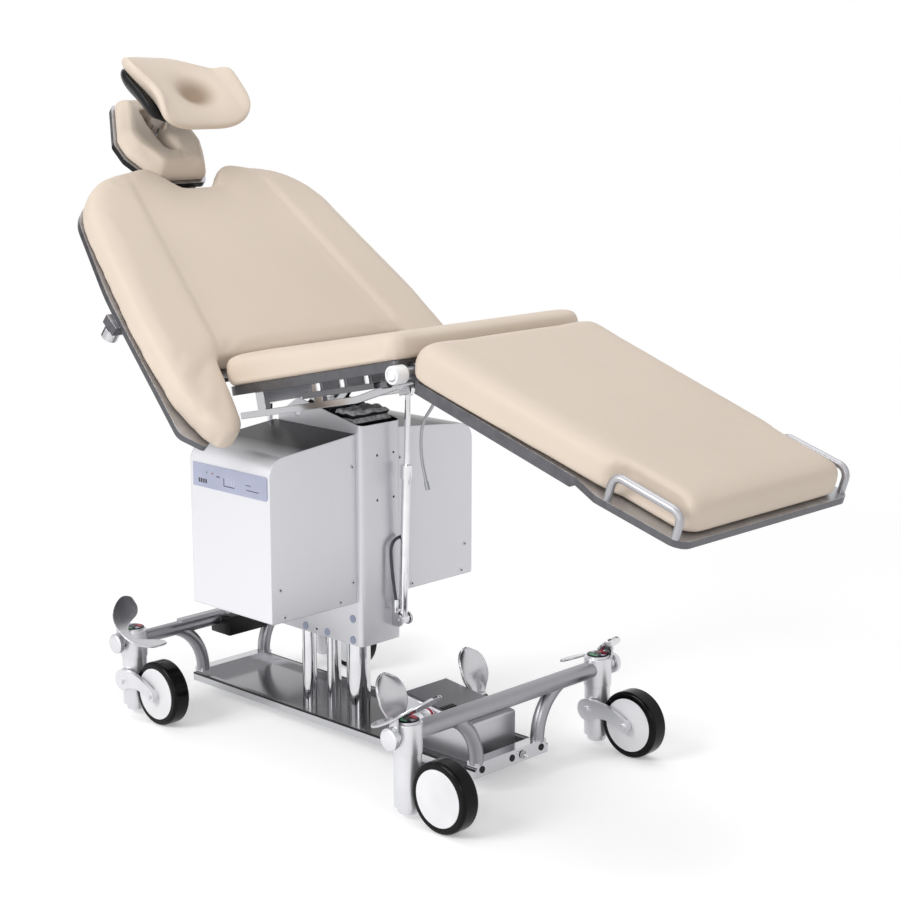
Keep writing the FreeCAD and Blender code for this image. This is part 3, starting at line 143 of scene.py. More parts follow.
def aimed(point, direction):
    turn = Vector(direction).to_track_quat("Z", "Y").to_matrix().to_4x4()
    return Matrix.Translation(Vector(point)) @ turn


def place(piece, point, direction):
    settle(piece, aimed(point, direction))


def copyOf(piece, name):
    focus(piece)
    bpy.ops.object.duplicate(linked=False)
    return named(name)


def discard(*masters):
    for master in masters:
        bpy.data.objects.remove(master)


def copies(master, places):
    # one copy with its own mesh at each place, and the master goes
    pieces = []
    for matrix in places:
        piece = copyOf(master, master.name)
        settle(piece, matrix)
        pieces.append(piece)
    discard(master)
    return pieces


def joined(pieces, name):
    bpy.ops.object.select_all(action="DESELECT")
    for piece in pieces:
        piece.select_set(True)
    bpy.context.view_layer.objects.active = pieces[0]
    bpy.ops.object.join()
    return named(name)


def clamp01(value):
    return max(0.0, min(1.0, value))


def ease(low, high, value):
    share = clamp01((value - low) / (high - low))
    return share * share * (3 - 2 * share)


# Slopes of the three sections, from their hinges in the frame
def sloped(origin, along, up):
    across = Vector(up).cross(Vector(along))
    matrix = Matrix.Identity(4)
    for i, axis in enumerate((Vector(along), across, Vector(up))):
        matrix[0][i], matrix[1][i], matrix[2][i] = axis
    return Matrix.Translation(origin) @ matrix


slopes = {"seat": math.radians(12.4), "leg": math.radians(-17.3), "back": math.radians(40.0)}
hinges = {"seat": jointPlace["back_fold"], "leg": jointPlace["leg_fold"], "back": jointPlace["back_fold"]}


def slopeOf(section):
    angle = slopes[section]
    if section == "back":
        along = (-math.cos(angle), 0, math.sin(angle))
        up = (math.sin(angle), 0, math.cos(angle))
    else:
        along = (math.cos(angle), 0, math.sin(angle))
        up = (-math.sin(angle), 0, math.cos(angle))
    return sloped(hinges[section], along, up)


seatSlope = slopeOf("seat")
legSlope = slopeOf("leg")
backSlope = slopeOf("back")


# Materials
def newMaterial(name, colour, metallic, roughness, gloss=0.5):
    material = bpy.data.materials.new(name)
    material.use_nodes = True
    shader = material.node_tree.nodes["Principled BSDF"]
    shader.inputs["Base Color"].default_value = (*colour, 1)
    shader.inputs["Metallic"].default_value = metallic
    shader.inputs["Roughness"].default_value = roughness
    shader.inputs["Specular IOR Level"].default_value = gloss
    material.diffuse_color = (*colour, 1)
    return material


def shaded(colour, factor):
    return tuple(min(1.0, c * factor) for c in colour)


class Wiring:
    def __init__(self, material):
        self.tree = material.node_tree
        self.shader = self.tree.nodes["Principled BSDF"]
        place = self.tree.nodes.new("ShaderNodeTexCoord")
        self.spot = place.outputs["Object"]
        self.normal = place.outputs["Normal"]

    def add(self, kind, **inputs):
        node = self.tree.nodes.new(kind)
        for key, value in inputs.items():
            node.inputs[key].default_value = value
        return node

    def link(self, source, target):
        self.tree.links.new(source, target)

    def mapped(self, scale=(1, 1, 1)):
        mapping = self.add("ShaderNodeMapping", Scale=scale)
        self.link(self.spot, mapping.inputs["Vector"])
        return mapping.outputs["Vector"]

    def noise(self, vector, scale, detail=3.0, rough=0.5):
        node = self.add("ShaderNodeTexNoise", Scale=scale, Detail=detail, Roughness=rough)
        self.link(vector, node.inputs["Vector"])
        return node.outputs["Fac"]

    def spread(self, value, low, high, fromLow=0.0, fromHigh=1.0):
        limits = {"From Min": fromLow, "From Max": fromHigh, "To Min": low, "To Max": high}
        node = self.add("ShaderNodeMapRange", **limits)
        self.link(value, node.inputs["Value"])
        return node.outputs["Result"]

    def sum(self, operation, a, b):
        node = self.tree.nodes.new("ShaderNodeMath")
        node.operation = operation
        for socket, value in zip(node.inputs, (a, b)):
            if isinstance(value, (int, float)):
                socket.default_value = value
            else:
                self.link(value, socket)
        return node.outputs["Value"]

    def between(self, value, low, high):
        above = self.sum("GREATER_THAN", value, low)
        below = self.sum("LESS_THAN", value, high)
        return self.sum("MULTIPLY", above, below)

    def along(self, axis):
        node = self.tree.nodes.new("ShaderNodeSeparateXYZ")
        self.link(self.spot, node.inputs[0])
        return node.outputs[axis]

    def measure(self, operation, vector, other=(0, 0, 0)):
        node = self.tree.nodes.new("ShaderNodeVectorMath")
        node.operation = operation
        node.inputs[1].default_value = other
        self.link(vector, node.inputs[0])
        return node.outputs["Value"]

    def facing(self, direction):
        return self.measure("DOT_PRODUCT", self.normal, direction)

    def mix(self, factor, a, b):
        node = self.tree.nodes.new("ShaderNodeMix")
        node.data_type = "RGBA"
        for socket, value in (("A", a), ("B", b)):
            target = [s for s in node.inputs if s.name == socket and s.type == "RGBA"][0]
            if isinstance(value, tuple):
                target.default_value = (*value, 1)
            else:
                self.link(value, target)
        target = [s for s in node.inputs if s.name == "Factor" and s.type == "VALUE"][0]
        self.link(factor, target)
        return [s for s in node.outputs if s.type == "RGBA"][0]

    def tones(self, value, edge, a, b):
        # from a to b while the value goes from edge to 1 - edge
        return self.mix(self.spread(value, 0, 1, edge, 1 - edge), a, b)

    def colour(self, socket):
        self.link(socket, self.shader.inputs["Base Color"])

    def roughness(self, value, edge, low, high):
        self.link(self.spread(value, low, high, edge, 1 - edge), self.shader.inputs["Roughness"])

    def rounded(self, radius):
        node = self.tree.nodes.new("ShaderNodeBevel")
        node.samples = 4
        node.inputs["Radius"].default_value = radius
        return node.outputs["Normal"]

    def bump(self, height, strength, distance, under=None):
        node = self.add("ShaderNodeBump", Strength=strength, Distance=distance)
        self.link(height, node.inputs["Height"])
        if under is not None:
            self.link(under, node.inputs["Normal"])
        self.link(node.outputs["Normal"], self.shader.inputs["Normal"])
        return node.outputs["Normal"]


def upholsteryVinyl(name, hollow=None):
    # hollow, if given, is a spot and a reach for painted shade: within it the vinyl is painted browner, for
    # the shade in the head rest's dimple
    colour = (0.64, 0.545, 0.455)
    material = newMaterial(name, colour, 0.0, 0.5, 0.3)
    w = Wiring(material)
    plain = w.mapped()
    broad = w.noise(plain, 5.0, 2.0)
    tone = w.tones(broad, 0.3, shaded(colour, 0.985), shaded(colour, 1.015))
    if hollow:
        spot, reach = hollow
        # painted shade, strongest at the spot and gone at the reach
        near = w.spread(w.measure("DISTANCE", w.spot, spot), 1, 0, 0.2 * reach, reach)
        near.node.interpolation_type = "SMOOTHSTEP"
        tone = w.mix(near, tone, (0.30, 0.215, 0.15))
    w.colour(tone)
    w.roughness(w.noise(plain, 40.0), 0.3, 0.46, 0.58)
    grain = w.add("ShaderNodeTexVoronoi", Scale=850.0)
    w.link(plain, grain.inputs["Vector"])
    fine = w.bump(grain.outputs["Distance"], 0.08, 0.0003)
    w.bump(w.noise(plain, 26.0, 2.0), 0.04, 0.002, fine)
    return material


def brushedSteel(name, colour, roughness, lines, metallic=1.0, rounding=0.002, dark=None, dull=False):
    # dark, if given, takes the wiring and gives a mask and a colour for painted shade: parts painted in a
    # darker tone where shade falls; dull also takes the gloss off them
    material = newMaterial(name, colour, metallic, roughness)
    w = Wiring(material)
    strokes = w.noise(w.mapped(lines), 1.0, 3.0, 0.5)
    tone = w.tones(strokes, 0.35, shaded(colour, 0.996), shaded(colour, 1.003))
    if dark:
        mask, other = dark(w)
        tone = w.mix(mask, tone, other)
        if dull:
            w.link(w.spread(mask, metallic, 0), w.shader.inputs["Metallic"])
            w.link(w.spread(mask, 0.5, 0.12), w.shader.inputs["Specular IOR Level"])
    w.colour(tone)
    w.roughness(strokes, 0.35, roughness - 0.01, roughness + 0.012)
    if rounding:
        w.bump(strokes, 0.0012, 0.0002, w.rounded(rounding))
    return material


def satinMetal(name, colour, roughness, metallic=1.0, rounding=0.0012, dark=None):
    material = newMaterial(name, colour, metallic, roughness)
    w = Wiring(material)
    plain = w.mapped()
    broad = w.noise(plain, 18.0, 2.0)
    tone = w.tones(broad, 0.35, shaded(colour, 0.965), shaded(colour, 1.03))
    if dark:
        mask, other = dark(w)
        tone = w.mix(mask, tone, other)
    w.colour(tone)
    w.roughness(broad, 0.35, roughness - 0.04, roughness + 0.04)
    w.bump(w.noise(plain, 900.0, 2.0), 0.02, 0.0002, w.rounded(rounding) if rounding else None)
    return material


def polishedChrome():
    material = newMaterial("polishedChrome", (0.74, 0.74, 0.76), 1.0, 0.06)
    w = Wiring(material)
    wipe = w.noise(w.mapped(), 30.0, 3.0)
    w.roughness(wipe, 0.35, 0.045, 0.10)
    w.colour(w.tones(wipe, 0.3, (0.70, 0.70, 0.72), (0.78, 0.78, 0.80)))
    return material


def mouldedPlastic(name, colour, roughness, grain=1400.0, depth=0.10, gloss=0.5):
    material = newMaterial(name, colour, 0.0, roughness, gloss)
    w = Wiring(material)
    plain = w.mapped()
    broad = w.noise(plain, 14.0, 2.0)
    high = tuple(min(1.0, c * 1.04 + 0.002) for c in colour)
    w.colour(w.tones(broad, 0.35, shaded(colour, 0.95), high))
    w.roughness(broad, 0.35, roughness - 0.05, roughness + 0.05)
    w.bump(w.noise(plain, grain, 2.0), depth, 0.0002)
    return material


def edgedPlate(name, up, edge, metallic):
    # bright sheet on the top face, another tone along the cut edges
    material = newMaterial(name, (0.05, 0.05, 0.055), 0.0, 0.35, 0.2)
    w = Wiring(material)
    plain = w.mapped()
    top = w.spread(w.facing(up), 0, 1, 0.85, 0.95)
    strokes = w.noise(plain, 60.0, 3.0)
    dark = w.tones(strokes, 0.3, shaded(edge, 0.9), shaded(edge, 1.1))
    bright = w.tones(strokes, 0.3, (0.42, 0.42, 0.44), (0.50, 0.50, 0.52))
    w.colour(w.mix(top, dark, bright))
    w.link(w.spread(top, metallic, 1), w.shader.inputs["Metallic"])
    w.roughness(strokes, 0.3, 0.30, 0.40)
    w.bump(w.noise(plain, 700.0, 2.0), 0.05, 0.0002, w.rounded(0.0012))
    return material


sheenFrom = -0.012  # the painted sheen lies ahead of this place along X


def bellowsRubber():
    # black folds; the front of the top is painted pale and crinkled, a painted sheen for the light
    # reflected off the crinkled top
    material = newMaterial("bellowsRubber", (0.012, 0.012, 0.013), 0.0, 0.38, 0.2)
    w = Wiring(material)
    plain = w.mapped()
    crumple = w.noise(plain, 90.0, 4.0, 0.6)
    black = w.tones(crumple, 0.3, (0.006, 0.006, 0.007), (0.014, 0.014, 0.015))
    paintedSheen = w.tones(crumple, 0.4, (0.45, 0.45, 0.46), (0.85, 0.85, 0.86))
    front = w.sum("GREATER_THAN", w.along("X"), shift + sheenFrom)
    onTop = w.spread(w.facing((0, 0, 1)), 0, 1, 0.2, 0.5)
    w.colour(w.mix(w.sum("MULTIPLY", front, onTop), black, paintedSheen))
    w.roughness(crumple, 0.3, 0.30, 0.46)
    w.bump(crumple, 0.4, 0.002)
    return material


# middle of the casing's walls: a rounded rectangle by its straight halves and its corner radius
casingWall = {"middle": -0.05625, "halfX": 0.10675, "halfY": 0.0404, "corner": 0.0095}


def casingInsidePaintedShade(w):
    # painted shade: the inner faces of the casing are painted near black, for the shade inside its mouth
    x = w.sum("SUBTRACT", w.along("X"), shift + casingWall["middle"])
    squares = []
    for value, half in ((x, casingWall["halfX"]), (w.along("Y"), casingWall["halfY"])):
        beyond = w.sum("SUBTRACT", w.sum("ABSOLUTE", value, 0.0), half)
        squares.append(w.sum("POWER", w.sum("MAXIMUM", beyond, 0.0), 2.0))
    return w.sum("LESS_THAN", w.sum("ADD", *squares), casingWall["corner"] ** 2), (0.004, 0.004, 0.005)


# distances from the middle plane
boxShade = {"darkTo": 0.17, "lightFrom": 0.262}


def boxTopPaintedShade(w):
    # painted shade and painted reflection: the box tops are painted dark and dull near the column, for the
    # table's shade and its dark underside mirrored in them, and turn to steel towards their outer edge
    up = w.spread(w.facing((0, 0, 1)), 0, 1, 0.55, 0.9)
    out = w.sum("ABSOLUTE", w.along("Y"), 0.0)
    inward = w.spread(out, 1.0, 0.0, boxShade["darkTo"], boxShade["lightFrom"])
    return w.sum("MULTIPLY", up, inward), (0.006, 0.006, 0.007)


plateShade = {"half": 0.370, "lightTo": -0.34, "darkFrom": 0.02}


def plateTopPaintedShade(w):
    # painted shade: the top is painted dark, lighter towards the head end; plain steel on the cut sides and
    # the end bars
    x = w.along("X")
    up = w.spread(w.facing((0, 0, 1)), 0, 1, 0.4, 0.6)
    inner = w.between(x, shift - plateShade["half"], shift + plateShade["half"])
    along = w.spread(x, 0, 1, shift + plateShade["lightTo"], shift + plateShade["darkFrom"])
    return w.sum("MULTIPLY", up, inner), w.mix(along, (0.27, 0.27, 0.28), (0.028, 0.028, 0.031))


def housingTopPaintedShade(w):
    # painted shade: the housing's top is painted darker than its sides
    return w.spread(w.facing((0, 0, 1)), 0, 1, 0.5, 0.9), (0.15, 0.15, 0.16)


railTop = -0.0305  # height of the rails' upper edge from the seat's hinge plane; the posts stand above it


def railPosts(w):
    up = seatSlope.to_3x3() @ Vector((0, 0, 1))
    level = w.measure("DOT_PRODUCT", w.spot, up)
    rail = up.dot(hinges["seat"]) + railTop
    return w.sum("GREATER_THAN", level, rail), (0.74, 0.74, 0.76)


finishes = {
    "upholstery": upholsteryVinyl("upholsteryVinyl"),
    # painted shade in the head rest's dimple, at this spot and reach
    "restVinylPaintedShade": upholsteryVinyl("restVinylPaintedShade", (backSlope @ Vector((0.622, -0.024, 0.146)), 0.058)),
    "casing": brushedSteel("casingSteel", (0.70, 0.70, 0.735), 0.30, (900, 900, 7), 0.5, 0, casingInsidePaintedShade),
    "box": brushedSteel("boxSteel", (0.74, 0.74, 0.775), 0.30, (900, 900, 7), 0.45, 0.003, boxTopPaintedShade, True),
    "basePlate": brushedSteel("basePlateSteel", (0.56, 0.56, 0.58), 0.16, (8, 700, 700), 1.0, 0, plateTopPaintedShade),
    "pump": brushedSteel("pumpSteel", (0.58, 0.58, 0.61), 0.30, (700, 9, 700), 0.8, 0, housingTopPaintedShade),
    "pedal": satinMetal("pedalSteel", (0.56, 0.56, 0.58), 0.20),
    "frame": satinMetal("frameGrey", (0.34, 0.34, 0.36), 0.34),
    "castor": satinMetal("castorSilver", (0.72, 0.72, 0.745), 0.33, 0.75, 0),
    "chrome": polishedChrome(),
    "bar": brushedSteel("barSteel", (0.56, 0.56, 0.58), 0.16, (9, 500, 500)),
    "rail": satinMetal("railGrey", (0.16, 0.16, 0.17), 0.33, 1.0, 0.001, railPosts),
    "handle": satinMetal("handleSilver", (0.42, 0.42, 0.44), 0.42, 0.8, 0),
    "tyre": mouldedPlastic("tyreRubber", (0.002, 0.002, 0.0022), 0.16, 900.0, 0.03, 0.14),
    "disc": mouldedPlastic("wheelDiscWhite", (0.78, 0.78, 0.80), 0.42),
    "black": mouldedPlastic("blackShell", (0.006, 0.006, 0.007), 0.34, 1400.0, 0.08, 0.2),
    "white": mouldedPlastic("whiteCap", (0.76, 0.76, 0.77), 0.4),
    "panel": mouldedPlastic("panelBlue", (0.36, 0.38, 0.50), 0.4, 1800.0, 0.03),
    "mark": mouldedPlastic("panelMarks", (0.05, 0.05, 0.065), 0.5),
    "tick": mouldedPlastic("panelTicks", (0.52, 0.53, 0.62), 0.5),
    "capBlue": mouldedPlastic("capBlue", (0.34, 0.38, 0.50), 0.4),
    "green": mouldedPlastic("markGreen", (0.02, 0.22, 0.09), 0.35),
    "red": mouldedPlastic("markRed", (0.38, 0.022, 0.045), 0.35),
    "rubber": bellowsRubber(),
}
for section, slope in (("seat", seatSlope), ("leg", legSlope), ("back", backSlope)):
    up = slope.to_3x3() @ Vector((0, 0, 1))
    finishes[section + "Plate"] = edgedPlate(section + "Plate", up, (0.13, 0.13, 0.14), 0.75)
finishes["headPlate"] = edgedPlate("headPlate", up, (0.007, 0.007, 0.008), 0.0)
print("materials:", len(finishes))


def paint(piece, finish):
    piece.data.materials.clear()
    piece.data.materials.append(finishes[finish])


# Finish of each CAD node that stays
castorNames = ("foot_near", "foot_far", "head_near", "head_far")
nodeFinish = {
    "castor_sleeves": "castor", "base_plate": "basePlate", "end_bar_plugs": "black",
    "pump_housing": "pump", "head_lever": "handle", "lift_tubes": "chrome", "column_casing": "casing",
    "side_box_near": "box", "side_box_far": "box", "control_panel": "panel", "spring_brackets": "bar",
    "front_spring_tube": "chrome", "front_spring_rod": "chrome", "rear_spring_tube": "chrome",
    "rear_spring_rod": "chrome", "seat_frame": "bar", "seat_plate": "seatPlate", "hinge_axles": "handle",
    "accessory_rails": "rail", "release_lever": "handle", "leg_plate": "legPlate",
    "leg_handles": "handle", "back_plate": "backPlate", "back_knob": "pedal",
    "head_plate": "headPlate", "head_clamp": "chrome", "head_ball": "chrome",
}
for name in castorNames:
    nodeFinish["castor_post_" + name] = "castor"
    nodeFinish["floor_pad_" + name] = "castor"
    nodeFinish["wheel_hub_" + name] = "disc"
    nodeFinish["wheel_tyre_" + name] = "tyre"
for name, finish in nodeFinish.items():
    paint(nodes[name], finish)


# Camera at the photograph's place
view = {"lens": 75.34, "spot": (2.4175, -2.3571, 1.2476), "azimuth": 44.2, "pitch": 11.48,
        "sensor": 36.0, "clipEnd": 200.0}


def makeCamera(p):
    bpy.ops.object.camera_add(location=p["spot"])
    camera = bpy.context.object
    camera.name = "photoCamera"
    camera.rotation_euler = (math.radians(90 - p["pitch"]), 0, math.radians(p["azimuth"]))
    camera.data.lens = p["lens"]
    camera.data.sensor_width = p["sensor"]
    camera.data.clip_end = p["clipEnd"]
    bpy.context.scene.camera = camera


makeCamera(view)


# Round pieces: a disc drawn up through steps of radius and height
def turned(name, steps, count, finish=None):
    radius, level = steps[0]
    bpy.ops.mesh.primitive_circle_add(vertices=count, radius=radius, fill_type="NGON")
    piece = named(name)
    editAll()
    bpy.ops.transform.translate(value=(0, 0, level))
    for nextRadius, nextLevel in steps[1:]:
        bpy.ops.mesh.extrude_region_move(TRANSFORM_OT_translate={"value": (0, 0, nextLevel - level)})
        share = nextRadius / radius
        bpy.ops.transform.resize(value=(share, share, 1), center_override=(0, 0, nextLevel))
        radius, level = nextRadius, nextLevel
    facesOutward()
    finishEdit()
    if finish:
        paint(piece, finish)
    return piece


def arcBand(name, inner, outer, start, sweep, height, finish):
    bpy.ops.mesh.primitive_grid_add(x_subdivisions=16, y_subdivisions=1, size=1)
    piece = named(name)
    for vertex in piece.data.vertices:
        angle = math.radians(start + sweep * (vertex.co.x + 0.5))
        radius = inner + (outer - inner) * (vertex.co.y + 0.5)
        vertex.co = (radius * math.cos(angle), radius * math.sin(angle), 0)
    drawUp(height)
    finishEdit()
    paint(piece, finish)
    return piece


def block(name, low, high, edge=0.0004):
    bpy.ops.mesh.primitive_cube_add(size=1)
    piece = named(name)
    low, high = Vector(low), Vector(high)
    editAll()
    bpy.ops.transform.resize(value=tuple(high - low), center_override=(0, 0, 0))
    bpy.ops.transform.translate(value=tuple((low + high) / 2))
    bpy.ops.mesh.bevel(offset=edge, segments=2, affect="EDGES")
    finishEdit()
    return piece


def fineCube(name, size, cuts):
    bpy.ops.mesh.primitive_cube_add(size=size)
    piece = named(name)
    editAll()
    bpy.ops.mesh.subdivide(number_cuts=cuts)
    finishEdit()
    return piece


def fitted(name, steps, count, finish, point, direction):
    piece = turned(name, steps, count, finish)
    place(piece, point, direction)
    return piece


def dress(piece, body, angle=35):
    smoothShade(piece, angle)
    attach(piece, body)
    print("piece:", piece.name)


# Release hose beside the front gas spring
hoseRun = {"points": [(0.078, 0.0205, 0.265), (0.0715, 0.0145, 0.330), (0.071, 0.0145, 0.384),
                      (0.071, 0.040, 0.384)],
           "diameter": 0.006, "length": 0.135, "ferruleDrop": 0.024, "armDrop": 0.020, "clipLap": 0.001,
           "ferrule": [(0.0040, 0), (0.0046, 0.001), (0.0046, 0.006), (0.0038, 0.0065), (0.0038, 0.009),
                       (0.0046, 0.0095), (0.0046, 0.018), (0.0040, 0.026)],
           "arm": [(0.0030, 0), (0.0036, 0.001), (0.0036, 0.013), (0.0050, 0.014), (0.0050, 0.0185),
                   (0.0044, 0.0194)],
           "clip": [(0.0034, 0), (0.0040, 0.0006), (0.0040, 0.011), (0.0034, 0.0118)]}


def makeHose(p):
    route = [(x + shift, y, z) for x, y, z in p["points"]]
    curve = bpy.data.curves.new("releaseHose", "CURVE")
    curve.dimensions = "3D"
    spline = curve.splines.new("NURBS")
    spline.points.add(len(route) - 1)
    for point, spot in zip(spline.points, route):
        point.co = (*spot, 1)
    spline.use_endpoint_u = True
    spline.order_u = 3
    spline.resolution_u = 16
    curve.bevel_depth = p["diameter"] / 2
    curve.bevel_resolution = 5
    curve.use_fill_caps = True
    hose = bpy.data.objects.new("releaseHose", curve)
    bpy.context.scene.collection.objects.link(hose)
    hose.data.materials.append(finishes["mark"])
    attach(hose, "front_tube")
    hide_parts("release_hose")
    start = Vector(route[0])
    end = Vector(route[-1])
    foot = start - Vector((0, 0, p["ferruleDrop"]))
    ferrule = fitted("hoseFerrule", p["ferrule"], 24, "chrome", foot, (0, 0, 1))
    root = start - Vector((0, 0, p["armDrop"]))
    arm = fitted("hoseValveArm", p["arm"], 24, "chrome", root, (0, 1, 0))
    clip = fitted("hoseClip", p["clip"], 24, "black", end - Vector((p["clipLap"], 0, 0)), (1, 0, 0))
    for fitting, slot in ((ferrule, "chrome"), (arm, "chrome"), (clip, "black_plastic")):
        dress(fitting, "front_tube")


makeHose(hoseRun)


# Cushions: a slab on its outline, made even, filled by a cloth run, then finished
heldBelow = 0.003  # points under this height stay where they are in the cloth run
clothSteps = 16


def roundedLoop(corners, radii, step=math.radians(9)):
    loop = []
    count = len(corners)
    for i in range(count):
        here = Vector(corners[i])
        toLast = (Vector(corners[i - 1]) - here).normalized()
        toNext = (Vector(corners[(i + 1) % count]) - here).normalized()
        half = toLast.angle(toNext) / 2
        reach = radii[i] / math.tan(half)
        start = here + toLast * reach
        end = here + toNext * reach
        centre = here + (toLast + toNext).normalized() * (radii[i] / math.sin(half))
        turn = math.pi - 2 * half
        pieces = max(2, round(turn / step))
        first = start - centre
        sign = 1 if first.cross(end - centre) > 0 else -1
        for k in range(pieces + 1):
            angle = sign * turn * k / pieces
            x = first.x * math.cos(angle) - first.y * math.sin(angle)
            y = first.x * math.sin(angle) + first.y * math.cos(angle)
            loop.append((centre.x + x, centre.y + y))
    return loop


def fourCorners(start, end, half, endHalf):
    return [(start, -half), (end, -endHalf), (end, endHalf), (start, half)]


def mirroredLoop(p):
    corners = [(u, -y) for u, y in reversed(p["half"])] + p["half"]
    return roundedLoop(corners, list(reversed(p["radii"])) + p["radii"])


def slab(name, loop, height, topRound, footRound):
    bpy.ops.mesh.primitive_circle_add(vertices=len(loop), radius=1, fill_type="NGON")
    piece = named(name)
    for vertex, point in zip(piece.data.vertices, loop):
        vertex.co = (point[0], point[1], 0)
    drawUp(height)
    for level, width in ((height, topRound), (0.0, footRound)):
        pickEdges(piece, lambda a, b: abs(a.z - level) < 1e-6 and abs(b.z - level) < 1e-6)
        bpy.ops.mesh.bevel(offset=width, segments=6, profile=0.5, affect="EDGES")
    finishEdit()
    return piece


def fillWithCloth(piece, pressure, cap):
    before = [v.co.copy() for v in piece.data.vertices]
    group = piece.vertex_groups.new(name="resting")
    group.add([i for i, co in enumerate(before) if co.z < heldBelow], 1.0, "REPLACE")
    cloth = piece.modifiers.new("fill", "CLOTH")
    cloth.settings.use_pressure = True
    cloth.settings.uniform_pressure_force = pressure
    cloth.settings.effector_weights.gravity = 0
    cloth.settings.vertex_group_mass = "resting"
    cloth.settings.quality = 4
    cloth.collision_settings.use_collision = False
    scene = bpy.context.scene
    for step in range(1, clothSteps + 1):
        scene.frame_set(step)
    applyModifier(piece, cloth)
    scene.frame_set(1)
    for vertex, start in zip(piece.data.vertices, before):
        move = vertex.co - start
        if move.length > cap:
            vertex.co = start + move * (cap / move.length)
    piece.vertex_groups.clear()


def filledSlab(name, loop, p, cutter=None):
    piece = slab(name, loop, p["height"], p["topRound"], p["footRound"])
    if cutter:
        cut = piece.modifiers.new("slot", "BOOLEAN")
        cut.operation = "DIFFERENCE"
        cut.solver = "EXACT"
        cut.object = cutter
        applyModifier(piece, cut)
        discard(cutter)
    evenMesh(piece, p["voxel"], p["softening"])
    fillWithCloth(piece, p["pressure"], p["cap"])
    return piece


def closeCushion(piece, slope, body, node, finish="upholstery"):
    subdivide(piece, 1)
    settle(piece, slope)
    smoothShade(piece)
    paint(piece, finish)
    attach(piece, body)
    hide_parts(node)
    print("cushion:", piece.name, len(piece.data.polygons), "faces")


seatPad = {"start": 0.014, "end": 0.482, "half": 0.243, "height": 0.053, "frontHeight": 0.044,
           "fallFrom": 0.2, "corner": 0.032, "topRound": 0.020, "footRound": 0.010, "cap": 0.003,
           "pressure": 3.0, "voxel": 0.008, "softening": 5}


def makeSeatCushion(p):
    corners = fourCorners(p["start"], p["end"], p["half"], p["half"])
    piece = filledSlab("seatCushion", roundedLoop(corners, [p["corner"]] * 4), p)
    length = p["end"] - p["start"]
    for vertex in piece.data.vertices:
        co = vertex.co
        share = clamp01(((co.x - p["start"]) / length - p["fallFrom"]) / (1 - p["fallFrom"]))
        co.z *= 1 + (p["frontHeight"] / p["height"] - 1) * share
    closeCushion(piece, seatSlope, "seat", "seat_cushion")


legPad = {"start": -0.004, "end": 0.602, "headHalf": 0.224, "footHalf": 0.208, "height": 0.070,
          "footHeight": 0.054, "radii": [0.040, 0.034, 0.034, 0.040], "topRound": 0.020, "footRound": 0.008,
          "headRound": 0.046, "headFade": (0.2, 0.85), "cap": 0.003, "pressure": 3.0, "voxel": 0.008,
          "softening": 5, "fineVoxel": 0.0072, "fineSoftening": 3, "bottom": -0.004, "relief": 0.0215,
          "clear": 0.003, "clearFade": (0.020, 0.050), "lip": 0.0085, "lipFade": (0.044, 0.058),
          "overhang": 0.03, "scoopY": 0.225, "scoopZ": 0.032, "scoopRadius": 0.042, "scoopFrom": 0.472,
          "scoopTo": 0.558, "scoopFade": (0.0, 0.012)}


def roundDrop(distance, radius):
    inside = max(0.0, radius - max(0.0, distance))
    return radius - math.sqrt(max(0.0, radius * radius - inside * inside))


def makeLegCushion(p):
    corners = fourCorners(p["start"], p["end"], p["headHalf"], p["footHalf"])
    piece = filledSlab("legCushion", roundedLoop(corners, p["radii"]), p)
    length = p["end"] - p["start"]
    for vertex in piece.data.vertices:
        co = vertex.co
        share = clamp01((co.x - p["start"]) / length)
        co.z *= 1 + (p["footHeight"] / p["height"] - 1) * share
        ahead = co.x - p["start"]
        drop = roundDrop(ahead, p["headRound"]) - roundDrop(ahead, p["topRound"])
        co.z -= max(0.0, drop) * ease(*p["headFade"], co.z / p["height"])
        side = 1 if co.y > 0 else -1
        axis = Vector((max(p["scoopFrom"], min(p["scoopTo"], co.x)), side * p["scoopY"], p["scoopZ"]))
        away = co - axis
        if away.length < p["scoopRadius"]:
            push = (p["scoopRadius"] - away.length) * ease(*p["scoopFade"], co.z)
            vertex.co = co + Vector((0, -side, 0)) * push
    evenMesh(piece, p["fineVoxel"], p["fineSoftening"])
    for vertex in piece.data.vertices:
        co = vertex.co
        co.z += p["bottom"]
        atHinge = 1 - ease(*p["clearFade"], co.x)
        co.z = max(co.z, p["bottom"] + (p["clear"] - p["bottom"]) * atHinge)
        low = 1 - ease(*p["lipFade"], co.z)
        co.x = max(co.x, p["lip"] * low - p["overhang"] * (1 - low))
        reach = math.hypot(co.x, co.z)
        if reach < p["relief"]:
            co.x *= p["relief"] / reach
            co.z *= p["relief"] / reach
    closeCushion(piece, legSlope, "leg", "leg_cushion")


backPad = {"half": [(0.484, 0.040), (0.545, 0.095), (0.500, 0.284), (0.150, 0.348), (-0.030, 0.363),
                    (-0.112, 0.346), (-0.153, 0.316), (-0.122, 0.277), (0.036, 0.240)],
           "radii": [0.014, 0.040, 0.150, 0.400, 0.150, 0.060, 0.022, 0.040, 0.018], "height": 0.053,
           "topRound": 0.020, "footRound": 0.008, "cap": 0.003, "pressure": 3.0, "voxel": 0.008,
           "softening": 5, "dishDepth": 0.006, "dishBlend": 0.022, "creaseTop": (0.470, 0.162),
           "creaseLow": (0.066, 0.220), "crease": 0.0025, "creaseWidth": 0.007, "topFade": (0.4, 1.0),
           "lowEnd": (-0.02, 0.08), "highEnd": (0.42, 0.53), "highEndFall": 0.6}


